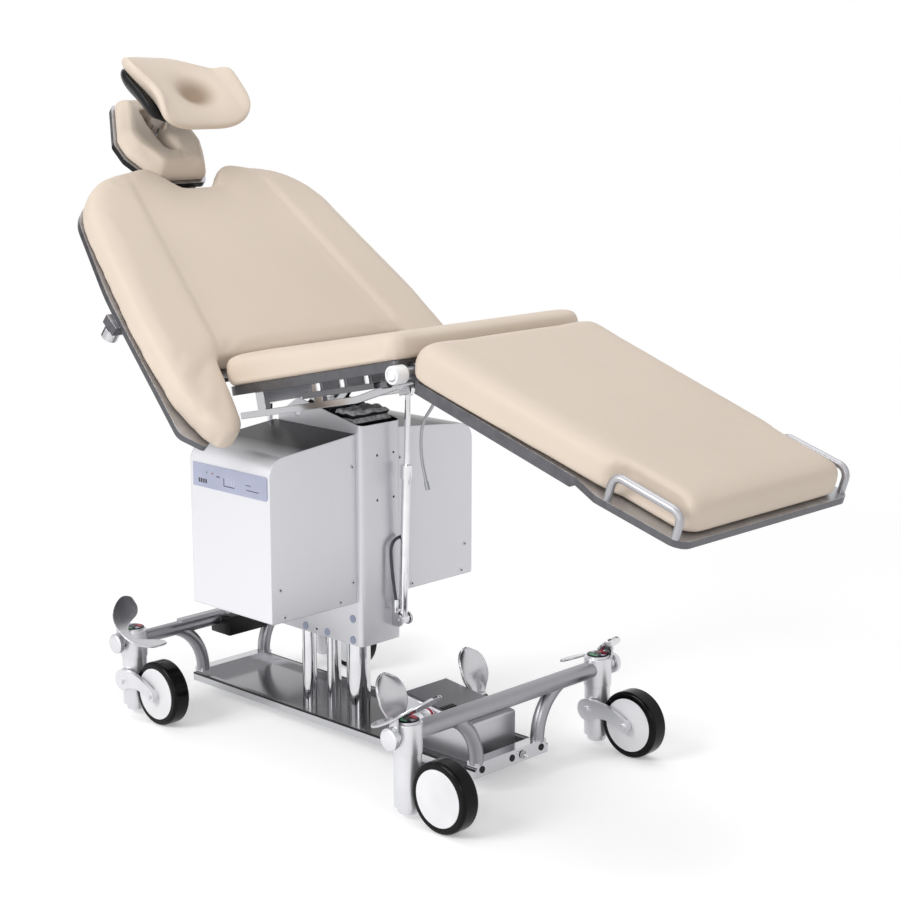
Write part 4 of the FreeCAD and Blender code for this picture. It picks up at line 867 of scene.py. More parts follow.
def makeBackCushion(p):
    piece = filledSlab("backCushion", mirroredLoop(p), p)
    topX, topY = p["creaseTop"]
    lowX, lowY = p["creaseLow"]
    for vertex in piece.data.vertices:
        co = vertex.co
        edge = lowY + (topY - lowY) * (co.x - lowX) / (topX - lowX)
        beyond = abs(co.y) - edge
        inside = 1 - ease(-p["dishBlend"], p["dishBlend"], beyond)
        onTop = ease(*p["topFade"], co.z / p["height"])
        ends = ease(*p["lowEnd"], co.x) * (1 - p["highEndFall"] * ease(*p["highEnd"], co.x))
        fold = math.exp(-(beyond / p["creaseWidth"]) ** 2)
        co.z -= (p["dishDepth"] * inside * ends + p["crease"] * fold * ends) * onTop
    closeCushion(piece, backSlope, "back", "back_cushion")


headPad = {"half": [(0.752, 0.034), (0.640, 0.092), (0.598, 0.092), (0.526, 0.058)],
           "radii": [0.012, 0.022, 0.022, 0.014], "height": 0.043, "topRound": 0.008, "footRound": 0.004,
           "rise": 0.010, "cap": 0.0015, "pressure": 2.0, "voxel": 0.004, "softening": 3,
           "slotFrom": 0.576, "slotTo": 0.713, "slotHalf": 0.0142, "slotEnds": 0.98, "flare": 0.35,
           "flareFrom": 0.024, "endFlare": 0.10, "cutHeight": 0.08, "cutBelow": 0.02, "cutEdge": 0.001,
           "middle": 0.640, "lean": 0.014, "leanReach": 0.095, "leanFade": (0.25, 1.0),
           "leanFrom": (0.03, 0.06), "valley": 0.007, "valleyWidth": 0.05, "valleyFade": (0.5, 1.0),
           "valleyFrom": (0.55, 0.60)}


def slotCutter(p):
    corners = fourCorners(p["slotFrom"], p["slotTo"], p["slotHalf"], p["slotHalf"])
    loop = roundedLoop(corners, [p["slotHalf"] * p["slotEnds"]] * 4)
    cutter = slab("slotCutter", loop, p["cutHeight"], p["cutEdge"], p["cutEdge"])
    middle = (p["slotFrom"] + p["slotTo"]) / 2
    for vertex in cutter.data.vertices:
        co = vertex.co
        co.z -= p["cutBelow"]
        opening = ease(p["flareFrom"], p["height"], co.z)
        co.y *= 1 + p["flare"] * opening
        co.x = middle + (co.x - middle) * (1 + p["endFlare"] * opening)
    return cutter


def makeHeadCushion(p):
    piece = filledSlab("headCushion", mirroredLoop(p), p, slotCutter(p))
    for vertex in piece.data.vertices:
        co = vertex.co
        reach = math.hypot(co.x - p["middle"], co.y)
        level = co.z / p["height"]
        draw = 1 - p["lean"] / p["leanReach"] * ease(*p["leanFade"], level) * ease(*p["leanFrom"], reach)
        co.x = p["middle"] + (co.x - p["middle"]) * draw
        co.y *= draw
        near = abs(co.y) / p["valleyWidth"]
        onTop = ease(*p["valleyFade"], level)
        co.z -= p["valley"] * math.exp(-near * near) * onTop * ease(*p["valleyFrom"], co.x)
        co.z += p["rise"]
    closeCushion(piece, backSlope, "head_section", "head_cushion")


restPad = {"t": 0.6285, "axis": 0.522, "inner": 0.354, "outer": 0.388, "halfLength": 0.105,
           "halfWidth": 0.132, "plan": 3.0, "top": 2.4, "under": 3.4, "dip": 0.022, "dipReach": 0.042,
           "dipSpot": (-0.006, -0.018), "neck": 0.006, "roll": 0.018, "waist": 0.034, "trim": 0.040,
           "skirt": 0, "cuts": 36}
restShell = {"t": 0.644, "axis": 0.522, "inner": 0.384, "outer": 0.401, "halfLength": 0.080,
             "halfWidth": 0.1235, "plan": 3.0, "top": 4.0, "under": 2.6, "dip": 0, "dipReach": 0.040,
             "dipSpot": (0, 0), "neck": 0, "roll": 0.012, "waist": 0.016, "trim": 0.040, "skirt": 0.022,
             "cuts": 24, "bossT": 0.650, "boss": [(0.0115, 0), (0.0120, 0.001), (0.0120, 0.040)],
             "bossLow": 0.090}
# where rim, waist, trim, neck and skirt begin and end, in shares of the half sizes; neckReach in metres
dishFades = {"rim": (0.70, 1.0), "rimAlong": (-0.4, 0.8), "rimLeast": 0.35, "waist": (0.4, 1.0),
             "waistSpot": -0.25, "waistReach": 0.55, "trim": (0.0, 1.0), "neck": (0.2, 1.0),
             "neckReach": 0.05, "skirt": (0.45, 0.9)}


def dishedForm(name, p, fades):
    piece = fineCube(name, 2, p["cuts"])
    middle = (p["inner"] + p["outer"]) / 2
    half = (p["outer"] - p["inner"]) / 2
    sweep = math.asin(p["halfWidth"] / middle)
    least = fades["rimLeast"]
    for vertex in piece.data.vertices:
        x, y, z = vertex.co
        edge = p["top"] if z > 0 else p["under"]
        plan = (abs(x) ** p["plan"] + abs(y) ** p["plan"]) ** (edge / p["plan"])
        scale = (plan + abs(z) ** edge) ** (-1 / edge)
        along, across, out = x * scale, y * scale, z * scale
        angle = across * sweep
        rim = ease(*fades["rim"], abs(across)) * (least + (1 - least) * ease(*fades["rimAlong"], along))
        radius = middle - out * half - p["roll"] * rim
        t = along * p["halfLength"]
        width = radius * math.sin(angle)
        drawn = math.exp(-((along - fades["waistSpot"]) / fades["waistReach"]) ** 2)
        width -= p["waist"] * ease(*fades["waist"], across) * drawn
        t -= p["trim"] * ease(*fades["trim"], -across) * ease(*fades["trim"], along)
        t += p["neck"] * math.exp(-(width / fades["neckReach"]) ** 2) * ease(*fades["neck"], -along)
        reach = math.hypot(t - p["dipSpot"][0], width - p["dipSpot"][1]) / p["dipReach"]
        if out > 0:
            radius += p["dip"] * out * math.exp(-reach * reach)
        else:
            radius -= p["skirt"] * out * ease(*fades["skirt"], abs(across))
        vertex.co = (p["t"] + t, width, p["axis"] - radius * math.cos(angle))
    return piece


def makeHeadRestPad(p):
    pad = dishedForm("headRestPad", p, dishFades)
    closeCushion(pad, backSlope, "head_rest", "head_rest_pad", "restVinylPaintedShade")


def makeHeadRestShell(p):
    dish = dishedForm("shellDish", p, dishFades)
    boss = turned("shellBoss", p["boss"], 32)
    place(boss, (p["bossT"], 0, p["bossLow"]), (0, 0, 1))
    whole = joined([dish, boss], "headRestShell")
    settle(whole, backSlope)
    paint(whole, "black")
    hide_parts("head_rest_shell")
    dress(whole, "head_rest", 40)


makeSeatCushion(seatPad)
makeLegCushion(legPad)
makeBackCushion(backPad)
makeHeadCushion(headPad)
makeHeadRestPad(restPad)
makeHeadRestShell(restShell)


# Small parts of the base
castor = {"x": 0.382, "y": 0.249, "trail": 0.088, "wheelRadius": 0.0625}
castorSpots = {}
for end, sign in (("foot", 1), ("head", -1)):
    castorSpots[end + "_near"] = (sign * castor["x"] + shift, -castor["y"])
    castorSpots[end + "_far"] = (sign * castor["x"] + shift, castor["y"])
sleeveCap = {"disc": [(0.0200, 0), (0.0204, 0.0006), (0.0204, 0.0012), (0.0192, 0.0018)], "top": 0.1748,
             "inner": 0.0090, "outer": 0.0168, "markLevel": 0.0017, "markHeight": 0.0006,
             "marks": (("red", 35, 95), ("green", 215, 95), ("tick", 160, 30), ("tick", 340, 30))}


def makeSleeveCaps(p):
    disc = turned("capDisc", p["disc"], 40, "black")
    parts = [disc]
    for finish, start, sweep in p["marks"]:
        mark = arcBand("capMark", p["inner"], p["outer"], start, sweep, p["markHeight"], finish)
        settle(mark, Matrix.Translation((0, 0, p["markLevel"])))
        parts.append(mark)
    cap = joined(parts, "sleeveCap")
    spots = [Matrix.Translation((x, y, p["top"])) for x, y in castorSpots.values()]
    dress(joined(copies(cap, spots), "sleeveCaps"), "base")


rocker = {"knob": [(0.0192, 0), (0.0196, 0.0006), (0.0196, 0.0092), (0.0190, 0.0100), (0.0172, 0.0104),
                   (0.0166, 0.0112), (0.0158, 0.0116)], "ribs": 72, "depth": 0.0005, "ribbedFrom": 0.0185,
          "root": 0.2846, "level": 0.150, "rise": 0.044, "slope": 29, "sag": 0.013, "inner": 0.077,
          "outer": 0.056, "far": 0.034, "near": 0.043, "thickness": 0.004, "edge": 0.0009,
          "collar": [(0.013, 0), (0.014, 0.001), (0.014, 0.007), (0.013, 0.008)], "collarY": 0.276,
          "rod": [(0.008, 0), (0.008, 0.020), (0.008, 0.270)], "rodY": 0.016, "webHalf": 0.009,
          "web": (-0.0350, -0.0290), "webLap": 0.001, "webEdge": 0.0008, "webFoot": 0.01,
          "rows": (((0.88, 1.00), (0.58, 1.00)), ((1.00, 0.55), (0.32, 0.76)), ((0.90, 0.00), (0.19, 0.30)),
                   ((0.68, -0.47), (0.08, -0.15)), ((0.30, -0.91), (-0.10, -0.48)),
                   ((-0.26, -1.0), (-0.34, -0.63)), ((-0.70, -0.86), (-0.52, -0.46)),
                   ((-0.95, -0.33), (-0.61, -0.05)), ((-1.0, 0.24), (-0.68, 0.30)),
                   ((-0.93, 0.78), (-0.79, 0.78)))}


def rockerPlate(p):
    # grid whose rows run across the crescent, laid on a hollow slope and given its thickness
    rows = p["rows"]
    bpy.ops.mesh.primitive_grid_add(x_subdivisions=len(rows) - 1, y_subdivisions=4, size=1)
    piece = named("rockerPlate")
    for vertex in piece.data.vertices:
        row = rows[round((vertex.co.x + 0.5) * (len(rows) - 1))]
        share = vertex.co.y + 0.5
        along = row[0][0] + (row[1][0] - row[0][0]) * share
        across = row[0][1] + (row[1][1] - row[0][1]) * share
        x = along * (p["outer"] if along > 0 else p["inner"])
        y = across * (p["far"] if across > 0 else p["near"])
        vertex.co = (x, y, 0)
    subdivide(piece, 2)
    middle = (p["outer"] - p["inner"]) / 2
    half = (p["outer"] + p["inner"]) / 2
    slope = math.tan(math.radians(p["slope"]))
    for vertex in piece.data.vertices:
        x = vertex.co.x
        vertex.co.z = p["rise"] + x * slope - p["sag"] * (1 - ((x - middle) / half) ** 2)
    thicken(piece, p["thickness"], p["edge"])
    return piece


def rockerHalf(p):
    # plate and web as they stand at the near foot castor
    plate = rockerPlate(p)
    top = p["rise"] - p["sag"] + p["webLap"]
    half, (y0, y1) = p["webHalf"], p["web"]
    web = block("rockerWeb", (-half, y0, 0), (half, y1, top), p["webEdge"])
    for vertex in web.data.vertices:
        if vertex.co.z > p["webFoot"]:
            vertex.co.z += vertex.co.x * math.tan(math.radians(p["slope"]))
    half = joined([plate, web], "rockerHalf")
    paint(half, "pedal")
    settle(half, Matrix.Translation((0, -castor["y"], 0)))
    return half


def ribbedKnob(p):
    knob = turned("knobFace", p["knob"], p["ribs"])
    for vertex in knob.data.vertices:
        radius = math.hypot(vertex.co.x, vertex.co.y)
        turn = round(math.atan2(vertex.co.y, vertex.co.x) / (2 * math.pi) * p["ribs"])
        if radius > p["ribbedFrom"] and turn % 2:
            vertex.co.x *= 1 - p["depth"] / radius
            vertex.co.y *= 1 - p["depth"] / radius
    paint(knob, "castor")
    return knob


def flipped(piece, axis):
    settle(piece, Matrix.Scale(-1, 4, axis))
    bpy.ops.object.mode_set(mode="EDIT")
    facesOutward()
    finishEdit()


def makeLockShafts(p):
    half = rockerHalf(p)
    collar = turned("rockerCollar", p["collar"], 40, "pedal")
    rod = turned("lockRod", p["rod"], 32, "chrome")
    knob = ribbedKnob(p)
    for end, sign in (("foot", 1), ("head", -1)):
        pieces = []
        for side in (-1, 1):
            pedal = copyOf(half, "rockerHalf")
            if side > 0:
                flipped(pedal, (0, 1, 0))
            if sign < 0:
                flipped(pedal, (1, 0, 0))
            pieces.append(pedal)
            for master, y in ((collar, p["collarY"]), (rod, p["rodY"]), (knob, p["root"])):
                part = copyOf(master, master.name)
                place(part, (0, side * y, 0), (0, side, 0))
                pieces.append(part)
        whole = joined(pieces, "lockShaft_" + end)
        settle(whole, Matrix.Translation((castorSpots[end + "_near"][0], 0, p["level"])))
        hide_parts("lock_shaft_" + end)
        dress(whole, "lock_" + end, 30)
    discard(half, collar, rod, knob)


frameEnd = {"tube": {"foot": 0.016, "head": 0.0136}, "rings": (0, 0.06, 0.15, 0.2465), "level": 0.150,
            "leg": 0.013, "footY": 0.080, "topY": 0.149, "bend": 0.100, "bendSteps": 8, "foot": 0.0500,
            "block": ((-0.402, -0.042, 0.118), (-0.342, 0.058, 0.158)), "blockEdge": 0.003}


def bentTube(name, points, radius):
    bpy.ops.curve.primitive_nurbs_path_add()
    curve = bpy.context.object
    spline = curve.data.splines[0]
    spline.points.add(max(0, len(points) - len(spline.points)))
    for point, spot in zip(spline.points, points):
        point.co = (*spot, 1)
    spline.order_u = 3
    spline.use_endpoint_u = True
    spline.resolution_u = 6
    curve.data.bevel_depth = radius
    curve.data.bevel_resolution = 6
    curve.data.use_fill_caps = True
    bpy.ops.object.convert(target="MESH")
    return named(name)


def frameLeg(p):
    rise = math.sqrt(p["bend"] ** 2 - (p["bend"] - (p["topY"] - p["footY"])) ** 2)
    turn = math.asin(rise / p["bend"])
    points = [(0, p["footY"], p["foot"])]
    for k in range(p["bendSteps"] + 1):
        angle = turn * k / p["bendSteps"]
        y = p["footY"] + p["bend"] * (1 - math.cos(angle))
        points.append((0, y, p["level"] - rise + p["bend"] * math.sin(angle)))
    leg = bentTube("frameLeg", points, p["leg"])
    paint(leg, "frame")
    return leg


def makeFrames(p):
    leg = frameLeg(p)
    for end in ("foot", "head"):
        x = castorSpots[end + "_near"][0]
        tube = turned("crossTube", [(p["tube"][end], y) for y in p["rings"]], 56, "frame")
        pieces = copies(tube, [aimed((x, 0, p["level"]), (0, side, 0)) for side in (-1, 1)])
        for turn in (0, math.pi):
            stand = copyOf(leg, "frameLeg")
            settle(stand, Matrix.Translation((x, 0, 0)) @ Matrix.Rotation(turn, 4, "Z"))
            pieces.append(stand)
        if end == "head":
            holder = block("frameBlock", *p["block"], p["blockEdge"])
            paint(holder, "black")
            settle(holder, Matrix.Translation((shift, 0, 0)))
            pieces.append(holder)
        whole = joined(pieces, "baseFrame_" + end)
        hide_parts("base_frame_" + end)
        dress(whole, "base")
    discard(leg)


liftPedal = {"pivot": (0.214, 0.084), "y": 0.107, "lean": 20, "low": -0.008, "high": 0.098, "half": 0.034,
             "foot": 0.017, "widening": (0.10, 0.52), "crown": 0.62, "crownCurve": 2.1, "hollow": 0.010,
             "deepest": 0.55, "lowerHollow": 0.6, "cup": 0.004, "thickness": 0.004, "edge": 0.0010,
             "shaft": [(0.006, 0), (0.006, 0.030), (0.0105, 0.031), (0.0105, 0.060), (0.0095, 0.062)],
             "root": 0.0585}


def pedalPaddle(p):
    bpy.ops.mesh.primitive_grid_add(x_subdivisions=12, y_subdivisions=32, size=2)
    paddle = named("paddle")
    for vertex in paddle.data.vertices:
        v, u = vertex.co.x, (vertex.co.y + 1) / 2
        width = p["foot"] + (p["half"] - p["foot"]) * ease(*p["widening"], u)
        top = max(0.0, (u - p["crown"]) / (1 - p["crown"]))
        width *= math.sqrt(max(0.01, 1 - top ** p["crownCurve"]))
        length = p["low"] + (p["high"] - p["low"]) * u
        bow = p["hollow"] * ((u - p["deepest"]) / (1 - p["deepest"])) ** 2
        if u <= p["deepest"]:
            bow *= p["lowerHollow"]
        vertex.co = (-bow + p["cup"] * v * v, v * width, length)
    subdivide(paddle, 1)
    thicken(paddle, p["thickness"], p["edge"])
    settle(paddle, Matrix.Rotation(math.radians(-p["lean"]), 4, "Y"))
    return paddle


def makeLiftPedals(p):
    paddle = pedalPaddle(p)
    shaft = turned("pedalShaft", p["shaft"], 36)
    x, z = p["pivot"]
    for name, side in (("near", -1), ("far", 1)):
        blade = copyOf(paddle, "paddle")
        settle(blade, Matrix.Translation((x + shift, side * p["y"], z)))
        stub = copyOf(shaft, "pedalShaft")
        place(stub, (x + shift, side * p["root"], z), (0, side, 0))
        whole = joined([blade, stub], "liftPedal_" + name)
        paint(whole, "pedal")
        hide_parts("lift_pedal_" + name)
        dress(whole, "lift_pedal_" + name, 40)
    discard(paddle, shaft)


wheelFace = {"steps": [(0.0497, 0), (0.0500, 0.0006), (0.0496, 0.0014), (0.0440, 0.0018)], "root": 0.0172}
postRing = {"steps": [(0.0249, 0), (0.0256, 0.0006), (0.0256, 0.0030), (0.0249, 0.0036)], "level": 0.1170}


def makeCastorTrim(face, ring):
    disc = turned("wheelSide", face["steps"], 72, "disc")
    band = turned("postBand", ring["steps"], 56, "castor")
    for name, (x, y) in castorSpots.items():
        sides = []
        for side in (-1, 1):
            cheek = copyOf(disc, "wheelSide")
            spot = (x + castor["trail"], y + side * face["root"], castor["wheelRadius"])
            place(cheek, spot, (0, side, 0))
            sides.append(cheek)
        dress(joined(sides, "wheelFace_" + name), "wheel_" + name)
        collar = copyOf(band, "postRing_" + name)
        place(collar, (x, y, ring["level"]), (0, 0, 1))
        dress(collar, "castor_" + name)
    discard(disc, band)


baseTrim = {"halfLength": 0.394, "edge": (0.0925, 0.0963), "level": (0.0408, 0.0444),
            "stud": (0.3951, 0.0273, 0.0415), "studFace": 0.0011, "ring": (0.0060, 0.0068),
            "ringHeight": 0.0004,
            "disc": [(0.0074, 0), (0.0078, 0.0004), (0.0078, 0.0008), (0.0072, 0.0012)],
            "pin": [(0.0034, 0), (0.0034, 0.0070), (0.0031, 0.0072), (0.0031, 0.0084), (0.0026, 0.0092)]}


def makeBaseTrim(p):
    inner, outer = p["edge"]
    low, high = p["level"]
    strip = block("edgeStrip", (-p["halfLength"], inner, low), (p["halfLength"], outer, high))
    paint(strip, "black")
    spots = [Matrix.Translation((shift, y, 0)) for y in (-inner - outer, 0)]
    dress(joined(copies(strip, spots), "baseEdgeStrips"), "base")
    root = Vector(p["stud"]) + Vector((shift, 0, 0))
    front = root + Vector((p["studFace"], 0, 0))
    disc = fitted("earthDisc", p["disc"], 40, "white", root, (1, 0, 0))
    ring = arcBand("earthRing", *p["ring"], 0, 360, p["ringHeight"], "mark")
    place(ring, front, (1, 0, 0))
    pin = fitted("earthPin", p["pin"], 24, "chrome", front, (1, 0, 0))
    dress(joined([disc, ring, pin], "earthStud"), "base")


pumpTrim = {"grille": (0.0150, 0.0330, 0.0016), "tray": 0.001, "inset": 0.0015, "slatHalf": 0.0018,
            "spot": (0.272, -0.037, 0.1166), "fall": 6.5, "slats": 5,
            "ring": [(0.0131, 0.0015), (0.0136, 0.0021), (0.0136, 0.0067), (0.0131, 0.0073)],
            "valve": [(0.0130, -0.002), (0.0130, 0.009), (0.0115, 0.0094), (0.0115, 0.022),
                      (0.0104, 0.0245), (0.0060, 0.0250)], "valveSpot": (0.246 + shift, -0.060, 0.101)}


def makePumpTrim(p):
    width, length, height = p["grille"]
    tray = block("grille", (-width / 2, -length / 2, -p["tray"]), (width / 2, length / 2, height * 0.5))
    reach = width / 2 - p["inset"]
    slat = block("slat", (-reach, -p["slatHalf"], 0), (reach, p["slatHalf"], height))
    rows = [(i - (p["slats"] - 1) / 2) * length / p["slats"] for i in range(p["slats"])]
    slats = copies(slat, [Matrix.Translation((0, y, 0)) for y in rows])
    grille = joined([tray] + slats, "pumpGrille")
    paint(grille, "black")
    x, y, z = p["spot"]
    settle(grille, Matrix.Translation((x + shift, y, z)) @ Matrix.Rotation(math.radians(p["fall"]), 4, "Y"))
    dress(grille, "base")
    valve = fitted("pumpValve", p["valve"], 40, "castor", p["valveSpot"], (0, -1, 0))
    ring = fitted("valveRing", p["ring"], 40, "red", p["valveSpot"], (0, -1, 0))
    whole = joined([valve, ring], "pumpValve")
    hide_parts("pump_valve")
    dress(whole, "base")


makeSleeveCaps(sleeveCap)
makeLockShafts(rocker)
makeFrames(frameEnd)
makeLiftPedals(liftPedal)
makeCastorTrim(wheelFace, postRing)
makeBaseTrim(baseTrim)
makePumpTrim(pumpTrim)


# Small parts of the column
coverScrew = {"head": [(0.0036, 0), (0.0040, 0.0004), (0.0040, 0.0011), (0.0034, 0.0015), (0.0023, 0.0015),
                       (0.0021, 0.0006)], "socket": [(0.0019, 0.0006), (0.0019, 0.0009)], "face": 0.0475,
              "places": ((0.0609, 0.3106), (0.0609, 0.5296), (0.0929, 0.2786), (0.2290, 0.2786),
                         (0.2380, 0.3306)),
              "cap": [(0.0072, 0), (0.0075, 0.0004), (0.0075, 0.0010), (0.0068, 0.0014)], "side": 0.0514,
              "caps": ((-0.098, 0.1948), (-0.036, 0.1948), (0.036, 0.1948), (0.036, 0.2358)),
              "hole": [(0.0024, 0), (0.0024, 0.0003), (0.0020, 0.0004)], "holes": ((-0.066, 0.1948),)}


def onBothSides(spots, y):
    return [aimed((shift + x, side * y, z), (0, side, 0)) for side in (-1, 1) for x, z in spots]


def makeCoverScrews(p):
    head = turned("screwHead", p["head"], 28, "castor")
    socket = turned("screwSocket", p["socket"], 6, "black")
    screw = joined([head, socket], "coverScrew")
    face = shift + p["face"]
    spots = [aimed((face, side * y, z), (1, 0, 0)) for side in (-1, 1) for y, z in p["places"]]
    screws = joined(copies(screw, spots), "coverScrews")
    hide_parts("cover_screws")
    dress(screws, "column")
    cap = turned("sideCap", p["cap"], 36, "capBlue")
    hole = turned("sideHole", p["hole"], 20, "black")
    caps = copies(cap, onBothSides(p["caps"], p["side"])) + copies(hole, onBothSides(p["holes"], p["side"]))
    dress(joined(caps, "sideCaps"), "column")


# each bar: finish, place along and up, width, height; each row adds its pitch
panelSet = {"left": -0.167, "low": 0.4955, "face": -0.2595, "proud": 0.0004, "sunk": 0.0003, "edge": 0.0002,
            "bars": (("mark", 0.088, 0.010, 0.030, 0.0016), ("mark", 0.088, 0.010, 0.0016, 0.015),
                     ("mark", 0.150, 0.021, 0.014, 0.0014), ("mark", 0.152, 0.012, 0.034, 0.0014)),
            "rows": ((("tick", 0.096, 0.015, 0.0014, 0.011), 0.007),
                     (("mark", 0.016, 0.008, 0.0044, 0.008), 0.0065)), "inRow": 4,
            "lamp": [(0.0016, 0), (0.0016, 0.0005), (0.0011, 0.0009), (0.0005, 0.0011)],
            "lamps": (("green", 0.040, 0.029), ("red", 0.056, 0.029), ("mark", 0.070, 0.025),
                      ("mark", 0.075, 0.025))}


def panelBar(p, finish, x, z, width, height):
    x += p["left"] + shift
    z += p["low"]
    bar = block("panelBar", (x, p["face"] - p["proud"], z), (x + width, p["face"] + p["sunk"], z + height),
                p["edge"])
    paint(bar, finish)
    return bar


def makePanelMarks(p):
    pieces = [panelBar(p, *bar) for bar in p["bars"]]
    for bar, pitch in p["rows"]:
        spots = [Matrix.Translation((i * pitch, 0, 0)) for i in range(p["inRow"])]
        pieces += copies(panelBar(p, *bar), spots)
    lamp = turned("panelLamp", p["lamp"], 20)
    for finish, x, z in p["lamps"]:
        light = copyOf(lamp, "panelLamp")
        place(light, (p["left"] + shift + x, p["face"], p["low"] + z), (0, -1, 0))
        paint(light, finish)
        pieces.append(light)
    discard(lamp)
    dress(joined(pieces, "panelMarks"), "column")


bellows = {"low": (-0.032, -0.0470, 0.566), "high": (0.0570, 0.0470, 0.632), "cuts": 26, "folds": 4,
           "depth": 0.0045, "lean": 0.022, "crinkle": 0.006, "crinkleFrom": (0.7, 1.0), "sink": 0.6,
           "sway": 0.002, "waves": (5.0, 5.0, 3.0), "waveStart": (3.1, 1.7, 0.4)}


def makeBellows(p):
    piece = fineCube("bellowsCover", 1, p["cuts"])
    low = Vector(p["low"])
    size = Vector(p["high"]) - low
    for vertex in piece.data.vertices:
        u, v, w = (c + 0.5 for c in vertex.co)
        pull = p["depth"] * (0.5 + 0.5 * math.cos(2 * math.pi * p["folds"] * w))
        x = low.x + size.x * u
        y = low.y + size.y * v
        z = low.z + size.z * w
        x += pull * (1 - 2 * u) - p["lean"] * w * u
        y += pull * (1 - 2 * v)
        wave = noise.noise(Vector((u, v, w)) * Vector(p["waves"]) + Vector(p["waveStart"]))
        z += p["crinkle"] * (wave - p["sink"]) * ease(*p["crinkleFrom"], w)
        y += p["sway"] * wave * (1 - abs(2 * v - 1)) * w
        vertex.co = (x + shift, y, z)
    subdivide(piece, 1)
    paint(piece, "rubber")
    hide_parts("gaiter")
    dress(piece, "column", None)


makeCoverScrews(coverScrew)
makePanelMarks(panelSet)
makeBellows(bellows)


# Small parts of the seat
hingeCap = {"steps": [(0.0150, 0), (0.0157, 0.0008), (0.0157, 0.0250), (0.0149, 0.0262), (0.0124, 0.0264),
                      (0.0120, 0.0256), (0.0112, 0.0256), (0.0108, 0.0262), (0.0080, 0.0263)],
            "root": 0.2208, "ring": (0.0088, 0.0104), "ringLevel": 0.0262, "ringHeight": 0.0004}


def makeHingeCaps(p):
    body = turned("hingeBody", p["steps"], 48, "white")
    ring = arcBand("hingeRing", *p["ring"], 0, 360, p["ringHeight"], "rail")
    settle(ring, Matrix.Translation((0, 0, p["ringLevel"])))
    cap = joined([body, ring], "hingeCap")
    hinge = hinges["leg"]
    spots = [aimed((hinge.x, side * p["root"], hinge.z), (0, side, 0)) for side in (-1, 1)]
    dress(joined(copies(cap, spots), "hingeCaps"), "seat")


makeHingeCaps(hingeCap)


# Studio: pale floor, soft lamps, white surround
studio = {"floorSize": 60.0, "fadeFrom": 1.3, "fadeTo": 2.6, "ambient": 0.52, "floor": 0.93, "lift": 0.27}


def seenDirectly(tree):
    # 1 for what the camera sees, also in mirrors and through glass, else 0
    path = tree.nodes.new("ShaderNodeLightPath")
    seen = path.outputs["Is Camera Ray"]
    for kind in ("Is Glossy Ray", "Is Transmission Ray"):
        larger = tree.nodes.new("ShaderNodeMath")
        larger.operation = "MAXIMUM"
        tree.links.new(seen, larger.inputs[0])
        tree.links.new(path.outputs[kind], larger.inputs[1])
        seen = larger.outputs["Value"]
    return seen


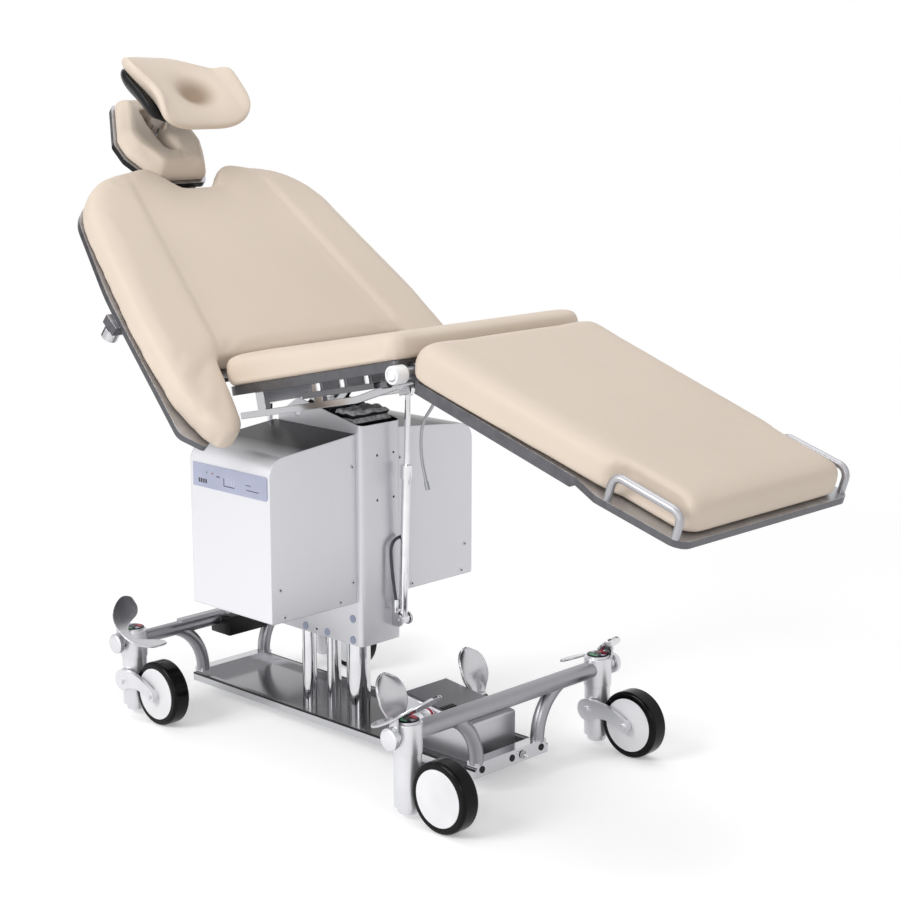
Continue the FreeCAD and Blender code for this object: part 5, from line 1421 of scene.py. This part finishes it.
def makeFloor(p):
    bpy.ops.mesh.primitive_plane_add(size=p["floorSize"])
    floor = named("studioFloor")
    pale = (p["floor"], p["floor"], p["floor"])
    material = newMaterial("studioFloor", pale, 0.0, 1.0)
    w = Wiring(material)
    w.tree.nodes.remove(w.shader)
    matte = w.add("ShaderNodeBsdfDiffuse", Color=(*pale, 1))
    lift = w.add("ShaderNodeEmission")
    w.link(w.sum("MULTIPLY", seenDirectly(w.tree), p["lift"]), lift.inputs["Strength"])
    near = w.add("ShaderNodeAddShader")
    w.link(matte.outputs["BSDF"], near.inputs[0])
    w.link(lift.outputs["Emission"], near.inputs[1])
    glow = w.add("ShaderNodeEmission")
    fade = w.spread(w.measure("LENGTH", w.spot), 0, 1, p["fadeFrom"], p["fadeTo"])
    fade.node.interpolation_type = "SMOOTHSTEP"
    mixed = w.add("ShaderNodeMixShader")
    w.link(fade, mixed.inputs["Fac"])
    w.link(near.outputs["Shader"], mixed.inputs[1])
    w.link(glow.outputs["Emission"], mixed.inputs[2])
    w.link(mixed.outputs["Shader"], w.tree.nodes["Material Output"].inputs["Surface"])
    floor.data.materials.append(material)


def makeWorld(p):
    world = bpy.data.worlds.new("studioSurround")
    bpy.context.scene.world = world
    world.use_nodes = True
    tree = world.node_tree
    background = tree.nodes["Background"]
    level = tree.nodes.new("ShaderNodeMapRange")
    level.inputs["To Min"].default_value = p["ambient"]
    level.inputs["To Max"].default_value = 1.0
    tree.links.new(seenDirectly(tree), level.inputs["Value"])
    tree.links.new(level.outputs["Result"], background.inputs["Strength"])
    background.inputs["Color"].default_value = (1, 1, 1, 1)


def makeLamp(name, spot, aim, size, power):
    bpy.ops.object.light_add(type="AREA", location=spot)
    lamp = bpy.context.object
    lamp.name = name
    lamp.data.size = size
    lamp.data.energy = power
    lamp.rotation_euler = (Vector(aim) - Vector(spot)).to_track_quat("-Z", "Y").to_euler()


def makeFlag(name, spot, aim, size):
    # dark studio panel that only shows in polished metal
    bpy.ops.mesh.primitive_plane_add(size=1)
    flag = named(name)
    flag.scale = (size[0], size[1], 1)
    flag.location = spot
    flag.rotation_euler = (Vector(aim) - Vector(spot)).to_track_quat("Z", "Y").to_euler()
    flag.data.materials.append(newMaterial(name, (0.01, 0.01, 0.011), 0.0, 0.9))
    flag.visible_camera = False
    flag.visible_diffuse = False
    flag.visible_shadow = False
    flag.visible_transmission = False


makeFloor(studio)
makeWorld(studio)
makeLamp("keyLamp", (-0.8, -3.6, 2.6), (0, 0, 0.5), 2.2, 92)
makeLamp("fillLamp", (3.2, -0.6, 2.4), (0.2, 0, 0.6), 2.2, 4)
makeLamp("topLamp", (0.2, 0.4, 3.6), (0, 0, 0.5), 2.6, 34)
makeLamp("cornerLamp", (2.5, -3.1, 1.5), (0, 0, 0.5), 0.9, 16)
makeFlag("flagBehind", (0.9, 4.2, 1.1), (0, 0, 0.7), (1.7, 3.4))
makeFlag("flagLeft", (-4.2, -0.9, 1.1), (0, 0, 0.7), (1.7, 3.4))
bpy.context.scene.view_settings.view_transform = "Standard"
print("studio ready")

bpy.context.view_layer.update()
